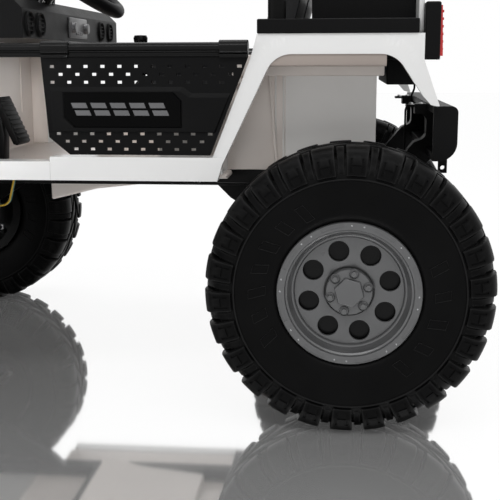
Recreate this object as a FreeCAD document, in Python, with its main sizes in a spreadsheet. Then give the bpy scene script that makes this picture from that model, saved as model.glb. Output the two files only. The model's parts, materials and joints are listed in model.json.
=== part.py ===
import FreeCAD, Part
import math
import os
import Sketcher
from FreeCAD import Placement, Rotation, Vector

# A battery-driven ride-on 4x4 at its own size, in millimetres.
# X points forward, Y to the driver's left, Z up.
# The origin is on the ground below the middle of the whole vehicle.

SIZES = {
    # Driving sizes
    "overall_length": 1234, "tyre_dia": 400, "tyre_width": 150,
    "wheelbase": 794, "track": 720, "body_half": 345,
    "skin": 6, "face_gap": 0.3, "door_gap": 3, "overrun": 4,
    # Chassis
    "rail_inner": 165, "rail_wide": 35, "rail_low": 319, "rail_tall": 23,
    "rail_front_back": 57, "rail_rear_out": 90, "member_long": 30,
    "belly_half": 150, "belly_low": 286, "belly_knee_drop": 37,
    "belly_front_ahead": 492, "belly_knee_back": 77, "belly_rear_back": 128,
    "foot_front_ahead": 240, "foot_long": 19, "foot_drop": 8.5,
    "tail_beam_low": 475, "tail_beam_long": 50, "tail_beam_thick": 12,
    # Body stations
    "sill_tall": 34, "sill_wide": 33, "sill_seam_ahead": 432.5, "sill_step": 7,
    "floor_thick": 8, "shelf_foot": 12, "firewall_back": 158, "firewall_top": 590,
    "strip_foot_out": 196.4, "strip_knee_out": 141.8, "strip_top_out": 132.7,
    "strip_knee_high": 515, "flare_top": 548, "flare_lip": 20,
    "flare_front_out": 128.8, "flare_tail_top_out": 84.9,
    "flare_tail_knee_out": 98.2, "flare_tail_knee_high": 511,
    "flare_tail_foot_out": 120.4, "flare_tail_foot_high": 450,
    "flare_round": 60, "arch_round": 38, "flare_slope_tall": 17,
    "flare_slope_deep": 7, "quarter_inset": 6, "arch_overrun": 15,
    # Seat box
    "box_strip": 90, "box_rear_out": 36, "box_front_ahead": 178, "box_top": 512,
    "box_lip_long": 10, "box_lip_tall": 23, "plinth_front_ahead": 287,
    "plinth_lean": 12, "plinth_top": 462, "box_rib": 3, "box_rib_ahead": 99,
    "box_rib_pitch": 12,
    "battery_wide": 180, "battery_tall": 100, "battery_room": 32,
    # Seats
    "seat_deep": 179, "seat_split": 17.5, "seat_inset": 22.5, "seat_front_ahead": 310,
    "seat_thick": 50, "seat_round": 18, "seat_back_tall": 250, "seat_back_thick": 48,
    "seat_back_lean": 62,
    # Bed and tail
    "bed_inset": 27, "bed_head_out": 60, "bed_top": 606, "bed_wall": 7,
    "bed_rail_tall": 20,
    "tail_thick": 8, "tail_face_out": 98,
    # Doors
    "door_tube_r": 8, "door_tube_high": 529, "sleeve_r": 11,
    "sleeve_long": 41, "mesh_thick": 5, "mesh_top": 517, "mesh_front_ahead": 440.6,
    "mesh_knee_drop": 113, "mesh_knee_in": 8, "mesh_foot_in": 38,
    "hinge_r": 7, "hinge_long": 26, "hinge_pin_r": 3, "pin_gap": 0.1,
    "hinge_leaf": 5, "hinge_back": 155,
    "hole_long": 7, "hole_tall": 4, "hole_pitch": 24.4,
    "plate_inset": 33, "plate_long": 167, "plate_low": 419,
    "plate_tall": 51, "plate_thick": 2, "plate_corner": 14,
    "band_thick": 3, "band_low": 411, "band_top": 475, "band_step": 9,
    "band_front_in": 10, "band_rear_in": 5, "band_short": 67, "plate_room": 0.6,
    # Front body
    "nose_inset": 125, "nose_face_back": 32,
    "hood_top": 606, "hood_drop": 26, "hood_corner": 12,
    "hood_round": 14, "nose_round": 16,
    "grille_gap": 19, "grille_low": 440, "grille_tall": 92,
    "grille_bar": 8, "grille_out": 3, "lamp_r": 36, "lamp_inset": 70, "lamp_high": 490,
    "lamp_long": 24, "lamp_bezel": 3.5, "lamp_sink": 7,
    # Windscreen and cage
    "screen_inset": 53, "screen_bar": 24, "screen_thick": 16,
    "screen_lean": 62, "cage_top": 850, "cage_r": 13, "cage_inset": 45,
    "cage_back": 25, "cage_bend": 39, "cage_rail_in": 39,
    "pane_thick": 4,
    # Bumpers
    "bumper_low": 378, "bumper_tall": 70, "bumper_thick": 27,
    "bumper_inset": 20, "bumper_round": 14, "rear_bumper_low": 371,
    "rear_bumper_tall": 77, "rear_bumper_thick": 34, "rear_bumper_face_out": 148,
    "rear_low_round": 26, "rear_top_round": 9,
    "channel_wall": 10, "channel_deep": 24,
    "tow_ear_wide": 12, "bracket_toe": 8, "bracket_heel": 25, "bracket_nose": 18,
    "bracket_foot": 17, "bracket_waist": 24, "bracket_head": 17, "bracket_lid": 2,
    "bracket_round": 12,
    "tow_r": 6, "tow_eye": 20, "rear_ear_long": 13, "rear_ear_tall": 30,
    "rear_ear_thick": 12, "rear_ear_back": 1, "rear_eye_r": 3.5,
    "rear_eye_up": 8,
    # Tail lamps
    "tail_lamp_wide": 60, "tail_lamp_tall": 78, "tail_lamp_low": 512,
    "tail_lamp_deep": 21, "lens_deep": 4, "lens_edge": 5,
    # Dash, steering and controls
    "dash_long": 157, "dash_low": 545, "dash_inset": 45, "dash_top": 606,
    "dash_lean": 18,
    "column_r": 11, "wheel_ring_r": 108, "wheel_grip_r": 11,
    "column_lean_deg": 35, "column_long": 90, "steer_hub_r": 28,
    "steer_hub_long": 24, "steer_y": 125, "steer_back": 167, "steer_z": 652,
    "pedal_wide": 60, "pedal_thick": 12, "pedal_foot_back": 96,
    "pedal_foot_z": 380, "pedal_top_back": 63, "pedal_top_z": 455,
    "pedal_base_front": 48, "pedal_base_rear": 24,
    "shift_r": 6, "shift_tall": 90, "console_half": 14, "console_tall": 115,
    "console_front_ahead": 447,
    # Axles
    "kingpin_out": 300, "yoke_half": 50, "yoke_thick": 12,
    "yoke_r": 17, "axle_r": 17, "stub_r": 8, "stub_gap": 0.3,
    "hub_out": 325, "knuckle_r": 15, "yoke_gap": 0.3,
    "steer_arm_long": 60, "steer_arm_thick": 8, "steer_arm_wide": 18,
    "tie_r": 5, "tie_eye_r": 8, "gear_wide": 42, "gear_inset": 63, "gear_r": 40, "gear_motor_r": 24,
    "gear_motor_long": 70, "strut_r": 20, "strut_out": 170,
    "arm_wide": 18, "arm_tall": 22, "arm_reach": 190,
    # Wheels
    "rim_flange": 87.6, "rim_disc_r": 76, "rim_wall": 5,
    "rim_face_in": 9, "rim_inner_in": 6, "rim_disc_in": 30,
    "rim_disc_thick": 6, "window_r": 14.3, "window_ring": 57.3,
    "boss_r": 20, "cap_sides_r": 32.4, "cap_long": 8, "cap_hex": 22, "cap_hex_long": 6,
    "bead_r": 99, "bulge_r": 158, "shoulder_r": 189,
    "tread_deep": 12, "lug_foot_r": 159, "lug_foot_deep": 4.6, "lug_foot_flush": 2,
    "lug_wide": 33, "lug_stand": 3, "lug_bend": 188,
    "lug_slope": 10, "lug_gap": 10, "lug_root": 9, "lug_root_r": 184,
    # Leads
    "lead_r": 1.6, "lead_bend": 16, "front_lead_ahead": 532, "front_lead_long": 72,
    "front_lead_low": 284, "front_lead_out": 206, "front_lead_pitch": 4.4,
    "front_lead_drift": 13,
    "rear_lead_out": 160, "rear_lead_back": 97, "rear_lead_foot": 84,
    "rear_lead_mid": 436, "lead_stem": 7,
    # How close two points must be to count as one
    "same_place": 0.01,
}
LUGS = 26
WINDOWS = 8
WINDOW_SIDES = 16
CAP_SIDES = 24
HEX_SIDES = 6
SPOKES = 3
GRILLE_BARS = 5
BOX_RIBS = 2

# Rows of holes in a door's panel: how far the first hole lies behind the
# panel's front edge in hole pitches, how high the row lies on the panel's
# height, and the number of holes.
HOLE_ROW_SHARES = [
    (0.62, 0.905, 12), (1.12, 0.825, 11), (0.62, 0.745, 11),
    (0.89, 0.217, 10), (1.4, 0.139, 9), (1.91, 0.059, 8)]

doc = FreeCAD.newDocument("RideOn")
sheet = doc.addObject("Spreadsheet::Sheet", "Sizes")
for row, (name, value) in enumerate(SIZES.items(), 1):
    sheet.set("A%d" % row, name)
    sheet.set("B%d" % row, "%g" % value)
    sheet.setAlias("B%d" % row, name)
doc.recompute()


class Size:
    """A number from the sheet together with the formula that gives it."""

    def __init__(self, value, text):
        self.value = value
        self.text = text

    def __add__(self, other):
        other = as_size(other)
        return Size(self.value + other.value, "(%s + %s)" % (self.text, other.text))

    def __radd__(self, other):
        return as_size(other) + self

    def __sub__(self, other):
        other = as_size(other)
        return Size(self.value - other.value, "(%s - %s)" % (self.text, other.text))

    def __rsub__(self, other):
        return as_size(other) - self

    def __mul__(self, other):
        other = as_size(other)
        return Size(self.value * other.value, "(%s * %s)" % (self.text, other.text))

    def __rmul__(self, other):
        return as_size(other) * self

    def __truediv__(self, other):
        other = as_size(other)
        return Size(self.value / other.value, "(%s / %s)" % (self.text, other.text))

    def root(self):
        return Size(math.sqrt(self.value), "sqrt(%s)" % self.text)

    def __neg__(self):
        return Size(-self.value, "(0 - %s)" % self.text)


def as_size(number):
    if isinstance(number, Size):
        return number
    return Size(float(number), repr(float(number)))


class Sheet:
    """Gives each named size of the sheet as an attribute."""

    def __getattr__(self, name):
        return Size(float(sheet.get(name)), "Sizes." + name)


g = Sheet()


def bind(obj, prop, size):
    """Set a property and tie it to the sheet."""
    size = as_size(size)
    if size.text != "0.0":
        obj.setExpression(prop, size.text)


def place(obj, x=0, y=0, z=0):
    for axis, size in zip("xyz", (x, y, z)):
        bind(obj, "Placement.Base." + axis, size)


def box(name, low, high):
    """A block from its low corner to its high corner."""
    piece = doc.addObject("Part::Box", name)
    for prop, start, end in zip(("Length", "Width", "Height"), low, high):
        bind(piece, prop, as_size(end) - as_size(start))
    place(piece, *low)
    return piece


TURNS = {
    "X": Rotation(Vector(0, 1, 0), 90),
    "Y": Rotation(Vector(1, 0, 0), -90),
    "Z": Rotation(),
}


def rod(name, axis, radius, length, x=0, y=0, z=0):
    """A round bar that starts at a point and runs along an axis."""
    piece = doc.addObject("Part::Cylinder", name)
    bind(piece, "Radius", radius)
    bind(piece, "Height", length)
    piece.Placement = Placement(Vector(), TURNS[axis])
    place(piece, x, y, z)
    return piece


PLANES = {"side": "XZ_Plane", "top": "XY_Plane", "front": "YZ_Plane"}


def outline(body, plane, points, level):
    """A closed sketch of straight edges, each corner tied to the sheet."""
    origin = [f for f in body.Origin.OriginFeatures if f.Role == PLANES[plane]][0]
    sketch = body.newObject("Sketcher::SketchObject", body.Name + "_outline")
    sketch.AttachmentSupport = [(origin, "")]
    sketch.MapMode = "FlatFace"
    bind(sketch, "AttachmentOffset.Base.z", level)
    corners = [(as_size(a), as_size(b)) for a, b in points]
    count = len(corners)
    for index, (a, b) in enumerate(corners):
        c, d = corners[(index + 1) % count]
        sketch.addGeometry(Part.LineSegment(Vector(a.value, b.value, 0),
                                            Vector(c.value, d.value, 0)))
    for index in range(count):
        sketch.addConstraint(Sketcher.Constraint(
            "Coincident", index, 2, (index + 1) % count, 1))
    for index, corner in enumerate(corners):
        for kind, size in zip(("DistanceX", "DistanceY"), corner):
            row = sketch.addConstraint(Sketcher.Constraint(
                kind, -1, 1, index, 1, size.value))
            bind(sketch, "Constraints[%d]" % row, size)
    return sketch


def slab(name, plane, points, start, end):
    """An outline in a plane, made thick from one level up to another."""
    body = doc.addObject("PartDesign::Body", name)
    start, end = as_size(start), as_size(end)
    level = -end if plane == "side" else start
    sketch = outline(body, plane, points, level)
    pad = body.newObject("PartDesign::Pad", name + "_pad")
    pad.Profile = sketch
    bind(pad, "Length", end - start)
    return body


def turned(name, points):
    """A profile of radius and height turned about the Z axis."""
    body = doc.addObject("PartDesign::Body", name)
    sketch = outline(body, "side", points, 0)
    turn = body.newObject("PartDesign::Revolution", name + "_turn")
    turn.Profile = sketch
    turn.ReferenceAxis = (sketch, ["V_Axis"])
    return body


def edge_names(shape, spans):
    """Names of the straight edges that join given pairs of points."""
    near = g.same_place.value
    names = []
    for span in spans:
        start, end = [Vector(*[as_size(c).value for c in point]) for point in span]
        for number, edge in enumerate(shape.Edges, 1):
            spots = [vertex.Point for vertex in edge.Vertexes]
            if len(spots) < 2:
                continue
            forward = (spots[0] - start).Length + (spots[1] - end).Length
            backward = (spots[0] - end).Length + (spots[1] - start).Length
            if min(forward, backward) < near:
                names.append("Edge%d" % number)
    if len(names) != len(spans):
        raise RuntimeError("found %d of %d edges" % (len(names), len(spans)))
    return names


def rounded(body, spans, radius):
    """Round a body's straight edges, each given by its two ends."""
    doc.recompute()
    base = body.Tip
    fillet = body.newObject("PartDesign::Fillet", body.Name + "_round")
    fillet.Base = (base, edge_names(base.Shape, spans))
    bind(fillet, "Radius", radius)
    doc.recompute()
    return body


def across(corner, low, high):
    """The edge that a corner of a side outline leaves between two levels."""
    x, z = corner
    return (x, low, z), (x, high, z)


def fuse(name, pieces):
    whole = doc.addObject("Part::MultiFuse", name)
    whole.Shapes = pieces
    whole.Refine = True
    return whole


def cut(name, base, tool):
    rest = doc.addObject("Part::Cut", name)
    rest.Base = base
    rest.Tool = tool
    rest.Refine = True
    return rest


def mirrored(name, source):
    twin = doc.addObject("Part::Mirroring", name)
    twin.Source = source
    twin.Normal = Vector(0, 1, 0)
    return twin


NODES = {}


def node(label, piece):
    piece.Label = label
    NODES[label] = piece
    return piece


def pair(label, piece):
    """A piece on the left and its mirror image on the right."""
    node(label + "_left", piece)
    node(label + "_right", mirrored(label + "_twin", piece))


def both(name, piece):
    """One piece and its mirror image, to be fused with others."""
    return [piece, mirrored(name + "_twin", piece)]


def tube(name, radius, points, bend):
    """A bent round tube through points, with equal bends."""
    spots = [Vector(*[as_size(c).value for c in p]) for p in points]
    edges, start = [], spots[0]
    for before, corner, after in zip(spots, spots[1:], spots[2:]):
        one = (before - corner).normalize()
        two = (after - corner).normalize()
        half = one.getAngle(two) / 2
        reach = bend.value / math.tan(half)
        middle = (one + two).normalize() * (bend.value / math.sin(half) - bend.value)
        edges.append(Part.LineSegment(start, corner + one * reach).toShape())
        edges.append(Part.Arc(corner + one * reach, corner + middle,
                              corner + two * reach).toShape())
        start = corner + two * reach
    edges.append(Part.LineSegment(start, spots[-1]).toShape())
    path = Part.Wire(edges)
    section = Part.Wire(Part.Circle(spots[0], spots[1] - spots[0],
                                    as_size(radius).value).toShape())
    piece = doc.addObject("Part::Feature", name)
    piece.Shape = path.makePipeShell([section], True, False)
    return piece


# Stations worked out from the driving sizes
rear_axle = g.tyre_dia / 2 - g.overall_length / 2
front_axle = rear_axle + g.wheelbase
hub_high = g.tyre_dia / 2
wheel_out = g.track / 2
nose_x = g.overall_length / 2
sill_low = g.rail_low + g.rail_tall
sill_top = sill_low + g.sill_tall
floor_top = sill_low + g.floor_thick
sill_in = g.body_half - g.sill_wide
firewall_x = front_axle - g.firewall_back
rail_out = g.rail_inner + g.rail_wide
box_rear = rear_axle - g.box_rear_out
tail_face = rear_axle - g.tail_face_out
nose_face = nose_x - g.nose_face_back
hinge_x = front_axle - g.hinge_back
box_half = g.body_half - g.box_strip
bed_half = g.body_half - g.bed_inset
nose_half = g.body_half - g.nose_inset
screen_half = g.body_half - g.screen_inset
lamp_side = nose_half - g.lamp_inset
grille_half = lamp_side - g.lamp_r - g.grille_gap
cage_half = g.body_half - g.cage_inset
bumper_half = g.body_half - g.bumper_inset
dash_half = g.body_half - g.dash_inset
belly_front = rear_axle + g.belly_front_ahead
belly_knee = belly_front - g.belly_knee_back
belly_rear = belly_knee - g.belly_rear_back
box_front = rear_axle + g.box_front_ahead
plinth_front = rear_axle + g.plinth_front_ahead
seat_front = rear_axle + g.seat_front_ahead
seat_sides = g.seat_split, box_half - g.seat_inset
mesh_front = rear_axle + g.mesh_front_ahead
# A lug's top is flat, so its corners reach the tyre's full radius.
lug_tip = (hub_high * hub_high - g.lug_wide * g.lug_wide / 4).root()


# Chassis
def chassis():
    front = nose_x - g.rail_front_back
    rear = rear_axle - g.rail_rear_out
    rails = both("rail", box("rail", (rear, g.rail_inner, g.rail_low),
                             (front, rail_out, sill_low)))
    members = []
    for index, x in enumerate((rear, box_front, belly_front, front - g.member_long)):
        members.append(box("member%d" % index, (x, -g.rail_inner, g.rail_low),
                           (x + g.member_long, g.rail_inner, sill_low)))
    foot_front = rear_axle + g.foot_front_ahead
    feet = both("sill_foot", box(
        "sill_foot", (foot_front - g.foot_long, rail_out, sill_low - g.foot_drop),
        (foot_front, sill_in, sill_low)))
    node("chassis_frame", fuse("chassis_frame", rails + members + feet))


def floor():
    slab_top = floor_top
    wing = front_axle - g.strip_foot_out + g.shelf_foot
    deck = slab("floor_deck", "top", [
        (box_front, -sill_in), (wing, -sill_in), (wing, -nose_half),
        (firewall_x, -nose_half), (firewall_x, nose_half), (wing, nose_half),
        (wing, sill_in), (box_front, sill_in)], sill_low, slab_top)
    belly = slab("belly", "side", [
        (belly_front, sill_low), (belly_front, g.belly_low),
        (belly_knee, sill_low - g.belly_knee_drop),
        (belly_rear, g.rail_low),
        (belly_rear, sill_low)],
        -g.belly_half, g.belly_half)
    wall = slab("firewall", "front", [
        (-nose_half, sill_low), (nose_half, sill_low),
        (nose_half, g.flare_top), (sill_in, g.flare_top),
        (sill_in, g.firewall_top), (-sill_in, g.firewall_top),
        (-sill_in, g.flare_top), (-nose_half, g.flare_top)],
        firewall_x, firewall_x + g.floor_thick)
    node("floor_tub", fuse("floor_tub", [deck, belly, wall]))


def seat_box():
    lip_low = g.box_top - g.box_lip_tall
    plinth_in = plinth_front + g.plinth_lean
    seat_rear = seat_front - g.seat_deep
    outer = slab("seat_box_outer", "side", [
        (plinth_front, floor_top), (plinth_in, g.plinth_top),
        (seat_rear, g.plinth_top), (seat_rear, g.box_top),
        (box_rear - g.box_lip_long, g.box_top), (box_rear - g.box_lip_long, lip_low),
        (box_rear, lip_low), (box_rear, sill_low),
        (box_front, sill_low), (box_front, floor_top)],
        -box_half, box_half)
    hollow = slab("seat_box_hollow", "side", [
        (plinth_front - g.skin, floor_top + g.skin),
        (plinth_in - g.skin, g.plinth_top - g.skin),
        (seat_rear - g.skin, g.plinth_top - g.skin),
        (seat_rear - g.skin, g.box_top - g.skin),
        (box_rear + g.skin, g.box_top - g.skin),
        (box_rear + g.skin, sill_low + g.skin),
        (box_front - g.skin, sill_low + g.skin),
        (box_front - g.skin, floor_top + g.skin)],
        g.skin - box_half, box_half - g.skin)
    ribs = []
    for index in range(BOX_RIBS):
        x = rear_axle + g.box_rib_ahead + g.box_rib_pitch * index
        ribs += both("box_rib%d" % index, box(
            "box_rib%d" % index, (x, box_half, floor_top),
            (x + g.box_rib, box_half + g.box_rib, g.box_top)))
    node("seat_box", cut("seat_box", fuse("seat_box_whole", [outer] + ribs), hollow))
    node("battery", box(
        "battery",
        (box_rear + g.battery_room, -g.battery_wide / 2, sill_low + g.skin),
        (box_front - g.battery_room, g.battery_wide / 2,
         sill_low + g.skin + g.battery_tall)))


def seats():
    rear = seat_front - g.seat_deep
    for side, sign in (("left", 1), ("right", -1)):
        low, high = seat_sides if sign > 0 else (-seat_sides[1], -seat_sides[0])
        base = slab("seat_cushion_" + side, "side", [
            (seat_front, g.plinth_top + g.face_gap),
            (seat_front, g.plinth_top + g.seat_thick),
            (rear + g.face_gap, g.plinth_top + g.seat_thick + g.seat_round),
            (rear + g.face_gap, g.plinth_top + g.face_gap)], low, high)
        node("seat_cushion_" + side, base)
        lean = rear - g.seat_back_lean
        cushion_top = g.plinth_top + g.seat_thick + g.seat_round
        back = slab("seat_back_" + side, "side", [
            (rear - g.face_gap, g.box_top + g.face_gap),
            (rear - g.face_gap, cushion_top + g.face_gap),
            (rear + g.seat_round, cushion_top + g.face_gap),
            (lean + g.seat_round, g.box_top + g.seat_back_tall),
            (lean + g.seat_round - g.seat_back_thick,
             g.box_top + g.seat_back_tall),
            (rear + g.seat_round - g.seat_back_thick, g.box_top + g.face_gap)],
            low, high)
        node("seat_back_" + side, back)


def flare(name, axle, way, inner_wall, sill_end, sill_head):
    """A wheel arch moulding with its sill; way is -1 for the rear one."""
    def at(out):
        return axle - way * out

    face = g.body_half
    root = face - g.flare_lip
    foot = at(g.strip_foot_out)
    crown = at(g.flare_front_out), g.flare_top
    tail = at(-g.flare_tail_top_out), g.flare_top
    end = at(-g.flare_tail_foot_out), g.flare_tail_foot_high
    band = slab(name + "_band", "side", [
        (sill_end, sill_low), (sill_end, sill_head), (foot, sill_head), crown, tail,
        end, (end[0], sill_low)], root, face)
    rounded(band, [across(crown, root, face), across(tail, root, face)],
            g.flare_round)
    sloped(band, face, [(foot, sill_head), end])
    strip = [(foot, sill_head), (at(g.strip_knee_out), g.strip_knee_high),
             (at(g.strip_top_out), g.flare_top)]
    quarter = slab(name + "_quarter", "side", strip + [
        (at(-g.tail_face_out), g.flare_top),
        (at(-g.tail_face_out), g.flare_tail_foot_high)],
        root, face - g.quarter_inset)
    shelf = slab(name + "_shelf", "side", [
        (at(g.strip_foot_out - g.shelf_foot), floor_top), (foot, floor_top)]
        + strip + [
        (at(-g.flare_tail_top_out), g.flare_top),
        (at(-g.flare_tail_knee_out), g.flare_tail_knee_high),
        (at(-g.flare_tail_knee_out + g.skin), g.flare_tail_knee_high),
        (at(-g.flare_tail_top_out + g.skin), g.flare_top - g.skin),
        (at(g.strip_top_out - g.skin), g.flare_top - g.skin),
        (at(g.strip_knee_out - g.skin), g.strip_knee_high),
        (at(g.strip_foot_out - g.shelf_foot), sill_head)],
        inner_wall, root)
    low, high = (foot, sill_end) if way < 0 else (sill_end, foot)
    sill = box(name + "_sill", (low, sill_in, sill_low), (high, root, sill_head))
    outer = cut(name + "_outer", fuse(name + "_blank", [band, quarter]),
                arch_tool(name, at, root, face))
    return fuse(name, [outer, shelf, sill])


def arch_tool(name, at, root, face):
    """The opening of a wheel arch, with its two round corners."""
    radius = g.tyre_dia / 2
    corners = [(at(out_share * radius), hub_high + high_share * radius)
               for out_share, high_share in ARCH_SHARES]
    beyond = at(-g.flare_tail_foot_out - g.arch_overrun)
    below = sill_low - g.overrun
    low, high = root - g.overrun, face + g.overrun
    tool = slab(name + "_arch", "side", corners + [
        (beyond, corners[-1][1]), (beyond, below), (corners[0][0], below)], low, high)
    return rounded(tool, [across(corner, low, high) for corner in
                          corners[ARCH_ROUND_FIRST:ARCH_ROUND_FIRST + 2]],
                   g.arch_round)


def sloped(band, face, ends):
    """Slope a band's outer contour from one end point over to the other."""
    near = g.same_place.value
    stops = [Vector(x.value, face.value, z.value) for x, z in ends]
    base = band.Tip
    edges = [(number, edge) for number, edge in enumerate(base.Shape.Edges, 1)
             if all(abs(v.Y - face.value) < near for v in edge.Vertexes)]
    names, spot, last = [], stops[0], None
    while (spot - stops[1]).Length > near:
        number, following = next(
            (n, [v.Point for v in e.Vertexes if (v.Point - spot).Length > near][0])
            for n, e in edges
            if n != last and any((v.Point - spot).Length < near for v in e.Vertexes)
            and max(v.Z for v in e.Vertexes) > stops[0].z + near)
        names.append("Edge%d" % number)
        spot, last = following, number
    slope = band.newObject("PartDesign::Chamfer", band.Name + "_slope")
    slope.Base = (base, names)
    slope.ChamferType = "Two distances"
    bind(slope, "Size", g.flare_slope_deep)
    bind(slope, "Size2", g.flare_slope_tall)
    doc.recompute()





# The inside edge of a wheel arch, as shares of the tyre's radius
# from the axle, from the sill over the top to the far end.
ARCH_SHARES = [
    (0.947, 0.71), (0.911, 0.83), (0.541, 1.6), (-0.291, 1.6),
    (-0.424, 1.406), (-0.49, 1.309), (-0.54, 1.254), (-0.582, 1.243)]
ARCH_ROUND_FIRST = 2


def flares():
    seam = rear_axle + g.sill_seam_ahead
    rear = flare("rear_flare", rear_axle, -1, box_half, seam, sill_top)
    pair("rear_flare", rear)
    front = flare("front_flare", front_axle, 1, nose_half, seam + g.face_gap,
                  sill_top - g.sill_step)
    pair("front_flare", front)


def bed():
    head = rear_axle + g.bed_head_out
    rail_head = rear_axle + g.strip_top_out
    tail = tail_face + g.tail_thick
    outer = box("bed_outer", (tail, -box_half, g.box_top),
                (head, box_half, g.bed_top))
    inner = box("bed_inner", (tail + g.bed_wall, g.bed_wall - box_half,
                              g.box_top + g.bed_wall),
                (head - g.bed_wall, box_half - g.bed_wall,
                 g.bed_top + g.overrun))
    tub = cut("bed_tub", outer, inner)
    shelf = both("bed_shelf", box(
        "bed_shelf", (tail, box_half - g.bed_wall, g.flare_top),
        (rail_head, bed_half, g.flare_top + g.bed_wall)))
    rails = both("bed_rail", box(
        "bed_rail", (tail, bed_half, g.flare_top),
        (rail_head, g.body_half - g.skin / 2, g.flare_top + g.bed_rail_tall)))
    beam_rear = rear_axle - g.rail_rear_out - g.tail_beam_thick
    beam = box("tail_beam", (beam_rear, -rail_out, g.tail_beam_low),
               (beam_rear + g.tail_beam_long, rail_out, g.box_top))
    node("cargo_bed", fuse("cargo_bed", [tub] + shelf + rails + [beam]))
    low = g.box_top
    step = g.flare_top
    node("tail_panel", slab("tail_panel", "front", [
        (-box_half, low), (box_half, low), (box_half, step),
        (bed_half, step), (bed_half, g.bed_top), (-bed_half, g.bed_top),
        (-bed_half, step), (-box_half, step)], tail_face, tail))


def door():
    line = g.body_half - g.door_tube_r
    rear = rear_axle + g.strip_knee_out + g.door_gap
    foot = rear_axle + g.strip_foot_out + g.door_gap
    eye_low = g.door_tube_high - g.hinge_long / 2
    parts = [rod("door_tube", "X", g.door_tube_r, hinge_x - rear, rear, line,
                 g.door_tube_high)]
    for index, x in enumerate((rear, mesh_front - g.sleeve_long)):
        parts.append(rod("door_sleeve%d" % index, "X", g.sleeve_r, g.sleeve_long,
                         x, line, g.door_tube_high))
    parts.append(rod("door_hinge_eye", "Z", g.hinge_r, g.hinge_long, hinge_x, line,
                     eye_low))
    parts.append(box("door_flat", (rear, line, g.mesh_top),
                     (hinge_x - g.hinge_r, line + g.mesh_thick, g.door_tube_high)))
    bore = rod("door_hinge_bore", "Z", g.hinge_pin_r + g.pin_gap,
               g.hinge_long + g.overrun * 2, hinge_x, line, eye_low - g.overrun)
    pair("door_bar", cut("door_bar_cut", fuse("door_bar_whole", parts), bore))
    door_panel(line, rear, foot)
    leaf = g.hinge_leaf
    reach = hinge_x + g.hinge_r
    pin = rod("hinge_pin", "Z", g.hinge_pin_r, g.hinge_long + leaf * 2, hinge_x, line,
              eye_low - leaf)
    leaves = [pin]
    for index, z in enumerate((eye_low - leaf - g.face_gap,
                               eye_low + g.hinge_long + g.face_gap)):
        leaves.append(box("hinge_leaf%d" % index, (firewall_x - g.hinge_r, sill_in, z),
                          (reach, line + g.hinge_r, z + leaf)))
    web = box("hinge_web", (firewall_x, sill_in, eye_low + g.hinge_long),
              (firewall_x + g.floor_thick, sill_in + leaf,
               g.firewall_top))
    leaves.append(web)
    whole = fuse("door_hinge", leaves)
    pair("door_hinge", whole)


def door_panel(line, rear, foot):
    """A door's panel: rows of slots, a raised band and the plate in it."""
    low = sill_top + g.door_gap
    face = line + g.mesh_thick

    def rear_at(z):
        return foot + (rear - foot) * ((z - low) / (g.mesh_top - low))

    panel = slab("door_mesh_panel", "side", [
        (mesh_front, g.mesh_top), (mesh_front - g.mesh_knee_in,
                                   g.mesh_top - g.mesh_knee_drop),
        (mesh_front - g.mesh_foot_in, low), (foot, low),
        (rear, g.mesh_top)], line, face)
    for index, (lead, high, count) in enumerate(HOLE_ROW_SHARES):
        x = mesh_front - g.hole_pitch * lead
        z = low + (g.mesh_top - low) * high
        hole_row(panel, "slots%d" % index, x, z, face, count)
    step = g.band_top - g.band_step
    corner = rear_at(step) + g.band_rear_in
    band = slab("door_band", "side", [
        (mesh_front - g.band_front_in, g.band_low),
        (rear_at(g.band_low) + g.band_rear_in, g.band_low), (corner, step),
        (corner + g.band_short, step), (corner + g.band_short, g.band_top),
        (mesh_front - g.band_front_in, g.band_top)], face, face + g.band_thick)
    seat = slab("door_plate_seat", "side", plate_outline(g.plate_room),
                face, face + g.band_thick + g.overrun)
    pair("door_mesh", fuse("door_mesh", [panel, cut("door_band_cut", band, seat)]))
    pair("door_plate", slab("door_plate_body", "side", plate_outline(as_size(0)),
                            face, face + g.plate_thick))


def plate_outline(room):
    """A plate with two cut corners, larger all round by some room."""
    front = mesh_front - g.plate_inset + room
    rear = mesh_front - g.plate_inset - g.plate_long - room
    low = g.plate_low - room
    high = g.plate_low + g.plate_tall + room
    return [(front, low + g.plate_corner), (front - g.plate_corner, low),
            (rear, low), (rear, high - g.plate_corner),
            (rear + g.plate_corner, high), (front, high)]


def hole_row(panel, name, x, z, face, count):
    """One row of equal slots through a panel, from its front slot rearward."""
    long, tall = g.hole_long / 2, g.hole_tall / 2
    sketch = outline(panel, "side", [
        (x - long, z - tall), (x + long, z - tall), (x + long, z + tall),
        (x - long, z + tall)], -face)
    pocket = panel.newObject("PartDesign::Pocket", name)
    pocket.Profile = sketch
    pocket.Reversed = True
    bind(pocket, "Length", g.mesh_thick)
    row = panel.newObject("PartDesign::LinearPattern", name + "_row")
    row.Originals = [pocket]
    row.Direction = (sketch, ["H_Axis"])
    row.Reversed = True
    bind(row, "Length", g.hole_pitch * (count - 1))
    row.Occurrences = count
    panel.Tip = row


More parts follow.
